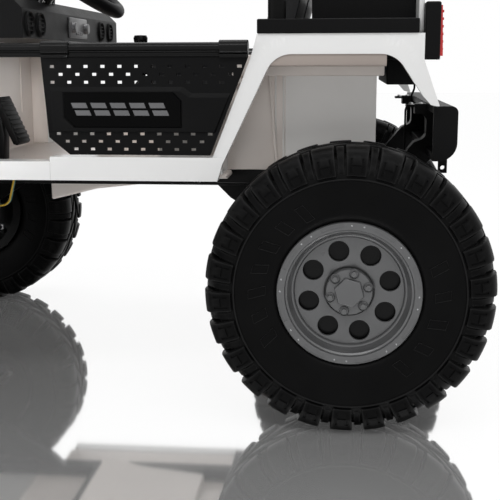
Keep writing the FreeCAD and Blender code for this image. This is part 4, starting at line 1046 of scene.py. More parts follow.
@dataclass
class Wheels:
    """The four wheels: each tyre and rim built once and placed on its own body."""

    tyre: Tyre
    rim: Rim
    centre_out: float = 0.360
    hub_high: float = 0.200
    stations: Tuple[Tuple[str, float], ...] = (("front", 0.377), ("rear", -0.417))
    lug_phase: float = math.radians(87.5) + math.pi
    rim_phase: float = math.radians(195.0)

    def seat(self, x: float, side: Side) -> Matrix:
        """Where a wheel modelled about its own axle goes.

        Args:
            x: station of the axle along the vehicle.
            side: side of the vehicle.

        Returns:
            The matrix from the wheel's own frame to the vehicle's.
        """
        lean = Matrix.Rotation(-side.value * math.pi / 2.0, 4, "X")
        return shift(x, side.value * self.centre_out, self.hub_high) @ lean

    def build(self) -> None:
        """Place tyre, rim face, dark well and studs of all four wheels."""
        masters = (("tread", self.tyre.build(), RUBBER, "tyre", self.lug_phase),
                   ("face", self.rim.build(), RIM_GREY, "rim", self.rim_phase),
                   ("well", self.rim.barrel(), BLACK_SATIN, None, self.rim_phase),
                   ("studs", self.rim.studs(), RIM_BRIGHT, None, self.rim_phase))
        for end, x in self.stations:
            for side in Side:
                body = f"wheel_{end}_{side.word}"
                for word, master, finish, node, phase in masters:
                    bm = master.copy()
                    bm.transform(self.seat(x, side) @ about_z(phase))
                    names = [f"{node}_{end}_{side.word}"] if node else []
                    Shapes.piece(bm, f"{body}_{word}", body, finish, names, smooth=40.0)
        for _, master, _, _, _ in masters:
            master.free()


@dataclass
class Studio:
    """The photograph's view: a long lens low beside the rear wheel, on a pale gloss floor."""

    location: Point = (-0.4110, 1.7375, 0.5099)
    yaw: float = math.radians(5.602)
    pitch: float = math.radians(10.772)
    roll: float = math.radians(-0.161)
    lens: float = 71.28
    sensor: float = 36.0
    floor_size: float = 30.0
    floor_roughness: float = 0.05
    floor_gloss: float = 0.86
    floor_lift: float = 0.05
    surroundings: float = 0.58
    beam_soft: float = 0.12

    def camera(self) -> None:
        """Set the scene's camera at the photograph's place, direction and field."""
        ahead = Vector((math.sin(self.yaw) * math.cos(self.pitch),
                        -math.cos(self.yaw) * math.cos(self.pitch),
                        -math.sin(self.pitch)))
        across = Vector((-math.cos(self.yaw), -math.sin(self.yaw), 0.0))
        above = across.cross(ahead)
        right = math.cos(self.roll) * across + math.sin(self.roll) * above
        upright = -math.sin(self.roll) * across + math.cos(self.roll) * above
        data = bpy.data.cameras.new("view")
        data.lens = self.lens
        data.sensor_width = self.sensor
        data.clip_end = 100.0
        camera = bpy.data.objects.new("view", data)
        turn = Matrix((right, upright, -ahead)).transposed().to_4x4()
        camera.matrix_world = Matrix.Translation(self.location) @ turn
        bpy.context.scene.collection.objects.link(camera)
        bpy.context.scene.camera = camera

    def floor_material(self) -> bpy.types.Material:
        """Pale gloss that mirrors the tyres and keeps a soft shadow.

        Returns:
            The new material.
        """
        made = bpy.data.materials.new("studio_floor")
        made.use_nodes = True
        tree = made.node_tree
        tree.nodes.clear()
        matt = add_node(tree, "BsdfDiffuse", {"Color": (0.93, 0.93, 0.93, 1.0)})
        gloss = add_node(tree, "BsdfGlossy", {"Color": WHITE,
                                              "Roughness": self.floor_roughness})
        mix = add_node(tree, "MixShader", {"Fac": self.floor_gloss},
                       {1: matt.outputs["BSDF"], 2: gloss.outputs["BSDF"]})
        seen = add_node(tree, "LightPath").outputs["Is Camera Ray"]
        gain = add_node(tree, "Math", {1: self.floor_lift}, {0: seen}, operation="MULTIPLY")
        lift = add_node(tree, "Emission", {"Color": WHITE},
                        {"Strength": gain.outputs["Value"]})
        total = add_node(tree, "AddShader", links={0: mix.outputs["Shader"],
                                                   1: lift.outputs["Emission"]})
        add_node(tree, "OutputMaterial", links={"Surface": total.outputs["Shader"]})
        return made

    def floor(self) -> None:
        """Lay the floor just under the tyres."""
        bm = bmesh.new()
        bmesh.ops.create_grid(bm, x_segments=1, y_segments=1, size=self.floor_size / 2.0)
        mesh = bpy.data.meshes.new("studio_floor")
        bm.to_mesh(mesh)
        bm.free()
        mesh.materials.append(self.floor_material())
        floor = bpy.data.objects.new("studio_floor", mesh)
        bpy.context.scene.collection.objects.link(floor)

    def world(self) -> None:
        """A pale world that the camera and the gloss see as white."""
        world = bpy.data.worlds.new("studio_world")
        bpy.context.scene.world = world
        world.use_nodes = True
        tree = world.node_tree
        tree.nodes.clear()
        ray = add_node(tree, "LightPath").outputs
        seen = ray["Is Camera Ray"]
        for kind in ("Is Glossy Ray", "Is Transmission Ray"):
            seen = add_node(tree, "Math", links={0: seen, 1: ray[kind]},
                            operation="MAXIMUM").outputs["Value"]
        plain, white = (add_node(tree, "Background", {"Color": WHITE, "Strength": strength})
                        for strength in (self.surroundings, 1.0))
        mix = add_node(tree, "MixShader", links={"Fac": seen, 1: plain.outputs["Background"],
                                                 2: white.outputs["Background"]})
        add_node(tree, "OutputWorld", links={"Surface": mix.outputs["Shader"]})

    def lamp(self, name: str, spot: Point, aim: Point, power: float,
             size: Station = (1.0, 1.0), cone: float = 0.0) -> None:
        """Hang one soft rectangular lamp or aim one narrow beam.

        Args:
            name: the lamp's name.
            spot: where it hangs.
            aim: the point that it faces.
            power: its power in watts.
            size: length and width of a rectangular lamp.
            cone: full angle of a beam in degrees, or 0 for a rectangular lamp.
        """
        data = bpy.data.lights.new(name, "SPOT" if cone else "AREA")
        data.energy = power
        if cone:
            data.spot_size = math.radians(cone)
            data.spot_blend = 1.0
            data.shadow_soft_size = self.beam_soft
        else:
            data.shape = "RECTANGLE"
            data.size, data.size_y = size
        lamp = bpy.data.objects.new(name, data)
        lamp.location = spot
        lamp.rotation_euler = (Vector(aim) - Vector(spot)).to_track_quat("-Z", "Y").to_euler()
        bpy.context.scene.collection.objects.link(lamp)

    def build(self) -> None:
        """Put up camera, world, floor, three soft lamps and two narrow beams."""
        bpy.context.scene.view_settings.view_transform = "Standard"
        self.camera()
        self.world()
        self.floor()
        self.lamp("key", (-0.5, 1.9, 2.5), (-0.1, 0.1, 0.3), 26.0, size=(3.0, 0.3))
        self.lamp("fill", (2.1, 1.7, 1.2), (0.1, 0.0, 0.3), 3.6, size=(1.4, 1.4))
        self.lamp("footwell", (-0.15, 1.20, 0.60), (0.21, 0.15, 0.495), 60.0, cone=17.0)
        self.lamp("cab", (-0.02, 0.00, 1.90), (0.00, 0.05, 0.36), 45.0, cone=22.0)
        self.lamp("top", (0.0, -0.4, 2.6), (0.0, 0.0, 0.3), 16.0, size=(2.2, 0.8))
        LOG.info("studio up")


@dataclass
class Door:
    """A tubular half door: grooved bar, sleeves, slotted panel, raised band and plate."""

    line: float = 0.337
    high: float = 0.529
    tube_r: float = 0.008
    rear: float = -0.272
    front: float = 0.0236
    hinge: float = 0.222
    sleeve_long: float = 0.041
    groove: float = 0.0013
    grooves: Tuple[int, ...] = (-4, -10)
    flats: int = 60
    face: float = 0.3418
    band_face: float = 0.3453
    bars: int = 5
    bar_wide: float = 0.0215
    bar_pitch: float = 0.0280

    def tube(self) -> Mesh:
        """The long bar with two grooves along its lower outer side.

        Returns:
            The new mesh.
        """
        bm = bmesh.new()
        made = bmesh.ops.create_circle(bm, cap_ends=True, segments=self.flats,
                                       radius=self.tube_r)
        for vert in made["verts"]:
            turn = round(math.atan2(vert.co.y, vert.co.x) / math.tau * self.flats)
            if turn in self.grooves:
                vert.co *= 1.0 - self.groove / self.tube_r
        Shapes.push(bm, bm.faces[:], (0.0, 0.0, self.hinge - 0.005 - self.rear))
        bmesh.ops.recalc_face_normals(bm, faces=bm.faces[:])
        bm.transform(Matrix(((0.0, 0.0, 1.0, self.rear), (1.0, 0.0, 0.0, self.line),
                             (0.0, 1.0, 0.0, self.high), (0.0, 0.0, 0.0, 1.0))))
        return bm

    def sleeve(self, x: float) -> Mesh:
        """One clamp round the bar, with the ribbed clip under it.

        Args:
            x: where the clamp begins.

        Returns:
            The new mesh.
        """
        long = self.sleeve_long
        bm = Shapes.turned([(0.0080, 0.0), (0.0102, 0.0), (0.0110, 0.0009),
                            (0.0110, long - 0.0009), (0.0102, long), (0.0080, long)],
                           (x, self.line, self.high), AHEAD)
        Shapes.join(bm, Shapes.block((x + 0.001, 0.3330, 0.5155),
                                     (x + long - 0.001, 0.3470, 0.5205), 0.0008))
        for index in range(6):
            at = x + 0.0035 + index * 0.0061
            Shapes.join(bm, Shapes.block((at, 0.3460, 0.5163),
                                         (at + 0.0035, 0.3478, 0.5192), 0.0004))
        return bm

    def bar(self) -> Mesh:
        """The bar with its sleeves, the strip under it and the hinge eye.

        Returns:
            The new mesh.
        """
        end = self.hinge - 0.007
        eye = [(0.0033, -0.0130), (0.0066, -0.0130), (0.0070, -0.0125), (0.0070, 0.0125),
               (0.0066, 0.0130), (0.0033, 0.0130)]
        return Shapes.together(
            self.tube(), self.sleeve(self.rear), self.sleeve(self.front - self.sleeve_long),
            Shapes.block((self.rear, 0.337, 0.517), (end, 0.3418, 0.5285), 0.0008),
            Shapes.block((self.rear, 0.3412, 0.5172), (end, 0.3430, 0.5192), 0.0006),
            Shapes.turned(eye, (self.hinge, self.line, self.high), AXLE))

    def lip(self) -> Mesh:
        """The raised lip that runs round the panel's edge.

        Returns:
            The new mesh.
        """
        corners = [(0.0234, 0.5168), (0.0154, 0.4040), (-0.0145, 0.3792),
                   (-0.2174, 0.3792), (-0.2718, 0.5168)]
        bm = bmesh.new()
        outer = bm.faces.new([bm.verts.new((x, self.face, z)) for x, z in corners])
        ring = bmesh.ops.inset_region(bm, faces=[outer], thickness=0.0034, use_boundary=True,
                                      use_even_offset=True)["faces"]
        bmesh.ops.delete(bm, geom=[f for f in bm.faces if f not in ring], context="FACES")
        Shapes.push(bm, bm.faces[:], (0.0, 0.0017, 0.0))
        bmesh.ops.recalc_face_normals(bm, faces=bm.faces[:])
        Shapes.soften(bm, 0.0006)
        return bm

    def band(self) -> Mesh:
        """The raised band with broad slopes and the six-sided recess for the plate.

        Returns:
            The new mesh.
        """
        foot = [(0.0142, 0.4112), (-0.2258, 0.4112), (-0.2478, 0.4668),
                (-0.1926, 0.4668), (-0.1796, 0.4757), (0.0142, 0.4757)]
        head = [(0.0082, 0.4124), (-0.2238, 0.4124), (-0.2440, 0.4604),
                (-0.1886, 0.4604), (-0.1766, 0.4690), (0.0082, 0.4690)]
        room = [(-0.0060, 0.4310), (-0.0200, 0.4170), (-0.1790, 0.4170),
                (-0.1790, 0.4560), (-0.1670, 0.4682), (-0.0060, 0.4682)]
        bm = bmesh.new()
        _, below = Shapes.loop(bm, [(x, self.face, z) for x, z in foot])
        _, above = Shapes.loop(bm, [(x, self.band_face, z) for x, z in head])
        bmesh.ops.bridge_loops(bm, edges=below + above)
        _, inner = Shapes.loop(bm, [(x, self.band_face, z) for x, z in room])
        bmesh.ops.bridge_loops(bm, edges=above + inner)
        sunk = bmesh.ops.extrude_edge_only(bm, edges=inner)["geom"]
        moved = [v for v in sunk if isinstance(v, bmesh.types.BMVert)]
        bmesh.ops.translate(bm, vec=(0.0, -0.0034, 0.0), verts=moved)
        middle = sum((v.co for v in moved), Vector()) / len(moved)
        bmesh.ops.scale(bm, vec=(0.97, 1.0, 0.93), verts=moved,
                        space=Matrix.Translation(-middle))
        bmesh.ops.recalc_face_normals(bm, faces=bm.faces[:])
        if sum(f.normal.y * f.calc_area() for f in bm.faces) < 0.0:
            bmesh.ops.reverse_faces(bm, faces=bm.faces[:])
        Shapes.soften(bm, 0.0003, 2, 15.0)
        return bm

    def inlay(self) -> Mesh:
        """Two rows of plain slanted bars across the plate.

        Returns:
            The new mesh.
        """
        bm = bmesh.new()
        for index in range(self.bars):
            for lean, low, high in ((0.0, 0.4350, 0.4425), (0.005, 0.4455, 0.4530)):
                x = -0.0265 - index * self.bar_pitch + lean
                top = x + 0.003
                Shapes.join(bm, Shapes.slab([(x, low), (top, high),
                                             (top - self.bar_wide, high),
                                             (x - self.bar_wide, low)],
                                            0.3436, 0.3448, 0.0002, 1))
        return bm

    def build(self, frame: dict) -> None:
        """Make both doors.
        """
        Shapes.pair(self.bar(), "door_bar_dressed", "door_{side}", BLACK_SATIN,
                    ["door_bar_{side}"])
        Shapes.pair(self.lip(), "door_lip", "door_{side}", BLACK_GRAIN)
        Shapes.pair(self.band(), "door_band", "door_{side}", BLACK_GRAIN)
        Shapes.pair(self.inlay(), "door_inlay", "door_{side}", INLAY_GREY)
        for side in Side:
            Moulding(f"door_mesh_{side.word}", BLACK_GRAIN, 0.0005, shortest=0.009,
                     trim=(0.0, side.value * 0.3421, 0.0)).build(frame)
            Moulding(f"door_plate_{side.word}", BLACK_PLATE, 0.0003).build(frame)


@dataclass
class Footwell:
    """What closes the footwell in front: toe boards, their ribs and the ribbed pedal."""

    board_x: float = 0.1900
    wall_x: float = 0.2190
    ribs: int = 9

    def boards(self) -> Mesh:
        """The left toe board between the tub's wall and the wheel arch, with its ribs.

        Returns:
            The new mesh.
        """
        x = self.board_x
        ribs = [Shapes.block((x - 0.0018, y, 0.372), (x + 0.0010, y + 0.003, 0.530), 0.0008)
                for y in (0.245, 0.285)]
        return Shapes.together(
            Shapes.block((x, 0.2190, 0.3502), (x + 0.0030, 0.3120, 0.5478), 0.0012),
            Shapes.block((x, 0.2172, 0.3502), (0.2192, 0.2202, 0.5478), 0.001), *ribs,
            Shapes.block((self.wall_x - 0.0018, 0.1500, 0.4150),
                         (self.wall_x + 0.0010, 0.1530, 0.5300), 0.0008))

    def pedal(self) -> Mesh:
        """The pad with ribs across its face, on its heel block.

        Returns:
            The new mesh.
        """
        pad = [(0.1235, 0.3800), (0.1275, 0.3755), (0.1345, 0.3775), (0.1645, 0.4440),
               (0.1640, 0.4520), (0.1560, 0.4545)]
        heel = [(0.1560, 0.3502), (0.1690, 0.3502), (0.1665, 0.4380), (0.1600, 0.4340),
                (0.1540, 0.3900)]
        bm = Shapes.together(Shapes.slab(pad, 0.0960, 0.1540, 0.0016, 3),
                             Shapes.slab(heel, 0.1120, 0.1380, 0.002))
        foot, top = Vector((0.1243, 0.0, 0.3840)), Vector((0.1553, 0.0, 0.4520))
        run = top - foot
        lean = Matrix.Rotation(math.atan2(run.x, run.z), 4, "Y")
        for index in range(self.ribs):
            spot = foot + run * ((index + 0.5) / self.ribs)
            rib = Shapes.block((-0.0012, 0.0985, -0.0022), (0.0012, 0.1515, 0.0022), 0.0007)
            Shapes.join(bm, rib, Matrix.Translation(spot) @ lean)
        return bm

    def build(self) -> None:
        """Make both toe boards and the pedal."""
        Shapes.pair(self.boards(), "toe_board", "vehicle", SHELL_WARM)
        Shapes.piece(self.pedal(), "pedal_ribbed", "vehicle", BLACK_GRAIN, ["pedal"])


@dataclass
class SeatPad:
    """One padded part of a seat: crowned, pulled in along its sides and sewn in channels."""

    node: str
    corner: Point
    along: Point
    face: Point
    long: float
    wide: float
    thick: float
    rise: float = 0.0
    rake: float = 0.0
    crown: float = 0.007
    pinch: float = 0.004
    seams: Tuple[float, ...] = (-0.34, 0.34)
    seam_deep: float = 0.0042
    seam_wide: float = 0.045
    cross_seam: float = 0.55
    cross_wide: float = 0.05
    cuts: int = 22
    cord_r: float = 0.0019
    cord_steps: int = 48
    cord_corner: float = 0.28
    cord_inset: float = 0.985

    def shaped(self) -> Mesh:
        """The pad in its own frame: X along it, Y across it, Z out of its face.

        Returns:
            The new mesh.
        """
        bm = bmesh.new()
        bmesh.ops.create_cube(bm, size=2.0)
        bmesh.ops.subdivide_edges(bm, edges=bm.edges[:], cuts=self.cuts, use_grid_fill=True)
        for vert in bm.verts:
            vert.co = self._placed(*vert.co)
        return bm

    def _placed(self, a: float, b: float, c: float) -> Point:
        """Where a point of the unit block goes on the pad.

        Args:
            a: share along the pad, from -1 to 1.
            b: share across it, from -1 to 1.
            c: share of its thickness, from -1 to 1.

        Returns:
            The point in the pad's own frame.
        """
        high = (c + 1.0) / 2.0
        round_a = 1.0 - abs(a) ** 6 * 0.055 * (0.3 + high)
        round_b = 1.0 - abs(b) ** 6 * 0.045 * (0.3 + high)
        inset = self.pinch * (1.0 - abs(c)) * 0.8
        x = (a * round_b + 1.0) / 2.0 * self.long + self.rake * high * (1.0 - a) / 2.0
        x -= math.copysign(inset, a) * abs(a) ** 4
        pull = self.pinch * (1.0 - a * a) * abs(b) ** 4
        y = b * round_a * self.wide / 2.0
        y -= math.copysign(pull + inset * abs(b) ** 4, b)
        dome = (1.0 - abs(a) ** 4) * (1.0 - abs(b) ** 4)
        z = high * (self.thick + self.rise * (1.0 - a) / 2.0 - self.crown * (1.0 - dome))
        for seam in self.seams:
            valley = math.exp(-((b - seam) / self.seam_wide) ** 2)
            z -= self.seam_deep * valley * max(0.0, c) ** 3 * (1.0 - abs(a) ** 10)
        line = math.exp(-((a - self.cross_seam) / self.cross_wide) ** 2)
        across = line * (1.0 - abs(b) ** 10)
        z -= self.seam_deep * 0.8 * across * max(0.0, c) ** 3
        return x, y, z

    def _rim(self) -> List[Vector]:
        """The points that the cord runs through, round the edge of the pad's face.

        Returns:
            The points in the pad's own frame.
        """
        shell = self.shaped()
        level = max(v.co.z for v in shell.verts)
        shell.free()
        rim = []
        for index in range(self.cord_steps):
            turn = math.tau * index / self.cord_steps
            a, b = (math.copysign(abs(part) ** self.cord_corner, part) * self.cord_inset
                    for part in (math.cos(turn), math.sin(turn)))
            x, y, z = self._placed(a, b, 1.0)
            rim.append(Vector((x, y, min(z, level))))
        return rim

    def piping(self) -> Mesh:
        """The sewn cord round the edge of the pad's face.

        Returns:
            The new mesh.
        """
        bm = bmesh.new()
        rim = self._rim()
        rings = []
        for spot, after in zip(rim, rim[1:] + rim[:1]):
            place = Matrix.Translation(spot) @ facing(after - spot)
            ring = bmesh.ops.create_circle(bm, cap_ends=False, segments=8,
                                           radius=self.cord_r, matrix=place)
            rings.append(list({e for v in ring["verts"] for e in v.link_edges}))
        for one, two in zip(rings, rings[1:] + rings[:1]):
            bmesh.ops.bridge_loops(bm, edges=one + two)
        bmesh.ops.recalc_face_normals(bm, faces=bm.faces[:])
        return bm

    def build(self, frame: dict) -> None:
        """Make the pad and its piping in place of the CAD solid.
        """
        along = Vector(self.along).normalized()
        out = Vector(self.face).normalized()
        turn = Matrix((along, out.cross(along), out)).transposed().to_4x4()
        place = Matrix.Translation(self.corner) @ turn
        body = frame["nodes"][self.node]["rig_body"]
        pad = self.shaped()
        pad.transform(place)
        bmesh.ops.recalc_face_normals(pad, faces=pad.faces[:])
        made = Shapes.piece(pad, self.node + "_padded", body, SEAT_HIDE, [self.node], 80.0)
        soft = made.modifiers.new("soft", "SUBSURF")
        soft.levels = 1
        soft.render_levels = 1
        cord = self.piping()
        cord.transform(place)
        Shapes.piece(cord, self.node + "_piping", body, PIPING, (), 80.0)


@dataclass
class Cab:
    """What the driver sees and holds: seats, steering wheel, dashboard and lever."""

    seat_out: float = 0.125
    wheel_spot: Point = (0.052, 0.125, 0.652)
    wheel_lean: float = math.radians(-35.0)
    ring_r: float = 0.108
    grip_r: float = 0.0108
    grip_flats: int = 16
    vents: Tuple[float, ...] = (-0.235, -0.165, 0.215, 0.270)
    gauges: Tuple[float, ...] = (0.1020, 0.1480)
    gauge_face: Point = (-0.991, 0.0, -0.132)

    def seats(self, frame: dict) -> None:
        """Both seats' cushions and backs.
        """
        for side in Side:
            middle = side.value * self.seat_out
            SeatPad(f"seat_cushion_{side.word}", (-0.2856, middle, 0.4624),
                    AHEAD, AXLE, 0.1776, 0.2130, 0.0560, rise=0.0120).build(frame)
            SeatPad(f"seat_back_{side.word}", (-0.3180, middle, 0.5155),
                    (-0.241, 0.0, 0.9705), (0.9705, 0.0, 0.241), 0.2520, 0.2130, 0.0460,
                    rake=0.0200, seams=(-0.5, 0.0, 0.5)).build(frame)

    def steering_wheel(self) -> None:
        """The round grip, three dished spokes and the capped hub."""
        place = (Matrix.Translation(self.wheel_spot)
                 @ Matrix.Rotation(self.wheel_lean, 4, "Y"))
        turns = [math.tau * k / self.grip_flats for k in range(self.grip_flats)]
        bm = Shapes.lathe([(self.ring_r + self.grip_r * math.cos(turn),
                            self.grip_r * math.sin(turn)) for turn in turns], 96)
        start, end = 0.0200, 0.1020
        for index in range(3):
            spoke = Shapes.block((start, -0.0105, -0.0108), (end, 0.0105, -0.0010), 0.0030, 3)
            for vert in spoke.verts:
                share = (vert.co.x - start) / (end - start)
                vert.co.y *= 1.25 - vert.co.x * 4.5
                vert.co.z += 0.004 * math.sin(math.pi * share) - 0.002
            Shapes.join(bm, spoke, about_z(math.radians(index * 120.0)))
        bm.transform(place)
        Shapes.piece(bm, "steering_wheel_dressed", "steering_wheel_body", BLACK_GRAIN,
                     ["steering_wheel"])
        hub = Shapes.lathe([(0.0, -0.0238), (0.0262, -0.0238), (0.0276, -0.0224),
                            (0.0280, -0.0060), (0.0272, -0.0010), (0.0250, 0.0016),
                            (0.0218, 0.0026), (0.0206, 0.0016), (0.0192, 0.0026),
                            (0.0100, 0.0040), (0.0, 0.0044)], 64)
        hub.transform(place)
        Shapes.piece(hub, "steering_wheel_hub", "steering_wheel_body", INLAY_GREY)

    def pod(self) -> None:
        """The instrument pod and the dashboard's four vents."""
        pod = Shapes.slab([(0.0800, 0.5900), (0.0760, 0.6200), (0.0840, 0.6240),
                           (0.1300, 0.6150), (0.1400, 0.6040), (0.0900, 0.5900)],
                          0.0780, 0.1720, 0.0040, 3)
        rim = [(0.0150, -0.0010), (0.0188, -0.0010), (0.0188, 0.0030), (0.0176, 0.0042),
               (0.0160, 0.0030)]
        for y in self.vents:
            Shapes.join(pod, Shapes.turned(rim, (0.0622, y, 0.5660), BEHIND, 40))
            for index in range(4):
                z = 0.5560 + index * 0.0062
                Shapes.join(pod, Shapes.block((0.0596, y - 0.0150, z),
                                              (0.0630, y + 0.0150, z + 0.0016), 0.0004))
        Shapes.piece(pod, "dash_pod", "vehicle", BLACK_GRAIN)

    def radio(self) -> None:
        """The radio panel with its knobs and buttons, and the gauges' rims."""
        panel = Shapes.block((0.0590, -0.0560, 0.5505), (0.0630, 0.0560, 0.5850), 0.0022, 3)
        knob = [(0.0, -0.0010), (0.0094, -0.0010), (0.0090, 0.0062), (0.0078, 0.0072),
                (0.0, 0.0072)]
        for y in (-0.040, 0.040):
            Shapes.join(panel, Shapes.turned(knob, (0.0592, y, 0.5680), BEHIND, 32))
        for index in range(4):
            y = -0.0205 + index * 0.0110
            Shapes.join(panel, Shapes.block((0.0570, y, 0.5560), (0.0600, y + 0.0080, 0.5620),
                                            0.0010))
        rim = [(0.0158, -0.0010), (0.0184, -0.0010), (0.0184, 0.0012), (0.0172, 0.0020),
               (0.0158, 0.0008)]
        for y in self.gauges:
            Shapes.join(panel, Shapes.turned(rim, (0.0776, y, 0.6052), self.gauge_face, 40))
        Shapes.piece(panel, "dash_panel", "vehicle", INLAY_GREY)

    def dials(self) -> None:
        """The white ticks and hands of both gauges."""
        dials = bmesh.new()
        for y in self.gauges:
            dial = bmesh.new()
            for index in range(9):
                tick = Shapes.block((0.0105, -0.0005, 0.0), (0.0142, 0.0005, 0.0006), 0.0001, 1)
                Shapes.join(dial, tick, about_z(math.radians(-120.0 + index * 30.0)))
            hand = Shapes.block((-0.0020, -0.0007, 0.0002), (0.0110, 0.0007, 0.0009), 0.0002, 1)
            Shapes.join(dial, hand, about_z(math.radians(35.0)))
            Shapes.join(dials, dial, shift(0.0774, y, 0.6052) @ facing(self.gauge_face))
        Shapes.piece(dials, "dash_dials", "vehicle", TRIM_WHITE)

    def lever(self) -> None:
        """The black boot, sleeve and knob over the console's lever."""
        bm = Shapes.turned([(0.0, 0.0), (0.0132, 0.0), (0.0128, 0.0030), (0.0100, 0.0060),
                            (0.0108, 0.0085), (0.0078, 0.0120), (0.0064, 0.0135),
                            (0.0064, 0.0720), (0.0080, 0.0740), (0.0118, 0.0800),
                            (0.0124, 0.0860), (0.0104, 0.0905), (0.0, 0.0912)],
                           (-0.0500, 0.0, 0.4648), AXLE)
        Shapes.piece(bm, "lever_knob", "vehicle", BLACK_SATIN)

    def build(self, frame: dict) -> None:
        """Dress the cab.
        """
        self.seats(frame)
        for make in (self.steering_wheel, self.pod, self.radio, self.dials, self.lever):
            make()


@dataclass
class Lamps:
    """Headlamps with their reflectors and glass, and the ribs of the tail lenses."""

    nose: float = 0.585
    out: float = 0.150
    high: float = 0.490
    bulbs: int = 8
    bulb_ring: float = 0.0195

    def headlamp(self) -> None:
        """Both headlamps: reflector, bulb, ring of small lamps and domed glass."""
        spot = (self.nose, self.out, self.high)
        bowl = [(0.0, 0.0185), (0.0100, 0.0185), (0.0180, 0.0190), (0.0250, 0.0205),
                (0.0288, 0.0225), (0.0292, 0.0180), (0.0, 0.0170)]
        middle = [(0.0, 0.0180), (0.0064, 0.0184), (0.0060, 0.0212), (0.0034, 0.0224),
                  (0.0, 0.0227)]
        small = [(0.0, 0.0188), (0.0042, 0.0190), (0.0034, 0.0204), (0.0, 0.0209)]
        glass = [(0.0290, 0.0222), (0.0240, 0.0238), (0.0150, 0.0250), (0.0, 0.0256),
                 (0.0, 0.0246), (0.0150, 0.0240), (0.0240, 0.0228), (0.0290, 0.0212)]
        bm = Shapes.together(Shapes.turned(bowl, spot, AHEAD, 64),
                             Shapes.turned(middle, spot, AHEAD, 32))
        for index in range(self.bulbs):
            turn = math.radians(22.5 + index * 45.0)
            place = (self.nose, self.out + self.bulb_ring * math.cos(turn),
                     self.high + self.bulb_ring * math.sin(turn))
            Shapes.join(bm, Shapes.turned(small, place, AHEAD, 20))
        Shapes.pair(bm, "headlamp_bowl", "vehicle", REFLECTOR)
        Shapes.pair(Shapes.turned(glass, spot, AHEAD, 64), "headlamp_glass", "vehicle",
                    LAMP_CLEAR)

    def tail(self) -> None:
        """The raised ribs of both tail lenses."""
        ribs = bmesh.new()
        for index in range(6):
            z = 0.5245 + index * 0.0102
            Shapes.join(ribs, Shapes.block((-0.5404, 0.2880, z), (-0.5390, 0.3300, z + 0.0034),
                                           0.0004))
        Shapes.pair(ribs, "tail_lens_ribs", "vehicle", LAMP_RED)

    def build(self, frame: dict) -> None:
        """Make all lamps.
        """
        for side in Side:
            Moulding(f"headlamp_{side.word}", BLACK_SATIN, 0.0008).build(frame)
        self.headlamp()
        self.tail()


@dataclass
class Running:
    """What shows under the floor: coil springs, their seats, arm flanges and bolts."""

    out: float = 0.170
    axles: Tuple[float, ...] = (0.377, -0.417)
    hub_high: float = 0.200
    low: float = 0.2350
    high: float = 0.3130
    coil_r: float = 0.0232
    wire_r: float = 0.0028
    turns: int = 5
    turn_steps: int = 20
    case_bolts: int = 5
    case_ring: float = 0.0325

    def coil(self, x: float) -> Mesh:
        """One coil spring between two seats.

        Args:
            x: station of its strut.

        Returns:
            The new mesh.
        """
        bm = bmesh.new()
        upright = Matrix.Rotation(math.pi / 2.0, 4, "X")
        wire = bmesh.ops.create_circle(bm, cap_ends=True, segments=10, radius=self.wire_r,
                                       matrix=shift(self.coil_r, 0.0, 0.0) @ upright)
        steps = self.turns * self.turn_steps
        rise = (self.high - self.low) / steps
        bmesh.ops.spin(bm, geom=wire["verts"] + bm.edges[:] + bm.faces[:], cent=ORIGIN,
                       axis=AXLE, dvec=(0.0, 0.0, rise), angle=math.tau * self.turns,
                       steps=steps, use_merge=False, use_duplicate=False)
        Shapes.close(bm)
        bm.transform(shift(x, self.out, self.low))
        return bm

    def springs(self) -> None:
        """The coil springs and their seats on both sides."""
        seat = [(0.0198, 0.0), (0.0270, 0.0), (0.0278, 0.0010), (0.0270, 0.0036),
                (0.0198, 0.0036)]
        seats = [Shapes.turned(seat, (x, self.out, z), AXLE, 40) for x in self.axles
                 for z in (self.low - 0.0065, self.high + 0.0012)]
        coils = Shapes.together(*[self.coil(x) for x in self.axles])
        Shapes.pair(coils, "coil_springs", "vehicle", SPRING)
        Shapes.pair(Shapes.together(*seats), "spring_seats", "vehicle", BLACK_COAT)

    def flange(self) -> None:
        """The plates under the rear bumper's arms on both sides."""
        plate = Shapes.block((-0.5310, 0.1680, 0.4412), (-0.5000, 0.1970, 0.4448), 0.0008)
        Shapes.pair(plate, "arm_flange", "vehicle", BLACK_COAT)

    def bolts(self) -> None:
        """Bolt heads on bumpers, rails, arm flanges, gearboxes and tail lamps."""
        rows = []
        for z in (0.398, 0.428):
            for y in (0.182, 0.250):
                rows += [((0.6168, y, z), AHEAD), ((-0.5648, y, z), BEHIND)]
        for x in (-0.4480, -0.3800, -0.1000, 0.1200, 0.3400, 0.4600):
            rows.append(((x, 0.1998, 0.3305), (0.0, 1.0, 0.0), 0.0038))
        for x in (-0.5230, -0.5080):
            rows += [((x, y, 0.4444), AXLE, 0.0034) for y in (0.1740, 0.1900)]
        for index in range(self.case_bolts):
            angle = math.radians(index * 72.0 + 18.0)
            spot = (self.axles[1] + self.case_ring * math.cos(angle), 0.2300,
                    self.hub_high + self.case_ring * math.sin(angle))
            rows.append((spot, (0.0, -1.0, 0.0), 0.0032))
        rows += [((-0.5362, y, 0.5145), BEHIND, 0.0022) for y in (0.2850, 0.3150)]
        heads = Shapes.together(*[Shapes.bolt(*row) for row in rows])
        Shapes.pair(heads, "bolt_heads", "vehicle", ZINC)

    def build(self) -> None:
        """Make springs, seats, flanges and bolts on both sides."""
        self.springs()
        self.flange()
        self.bolts()


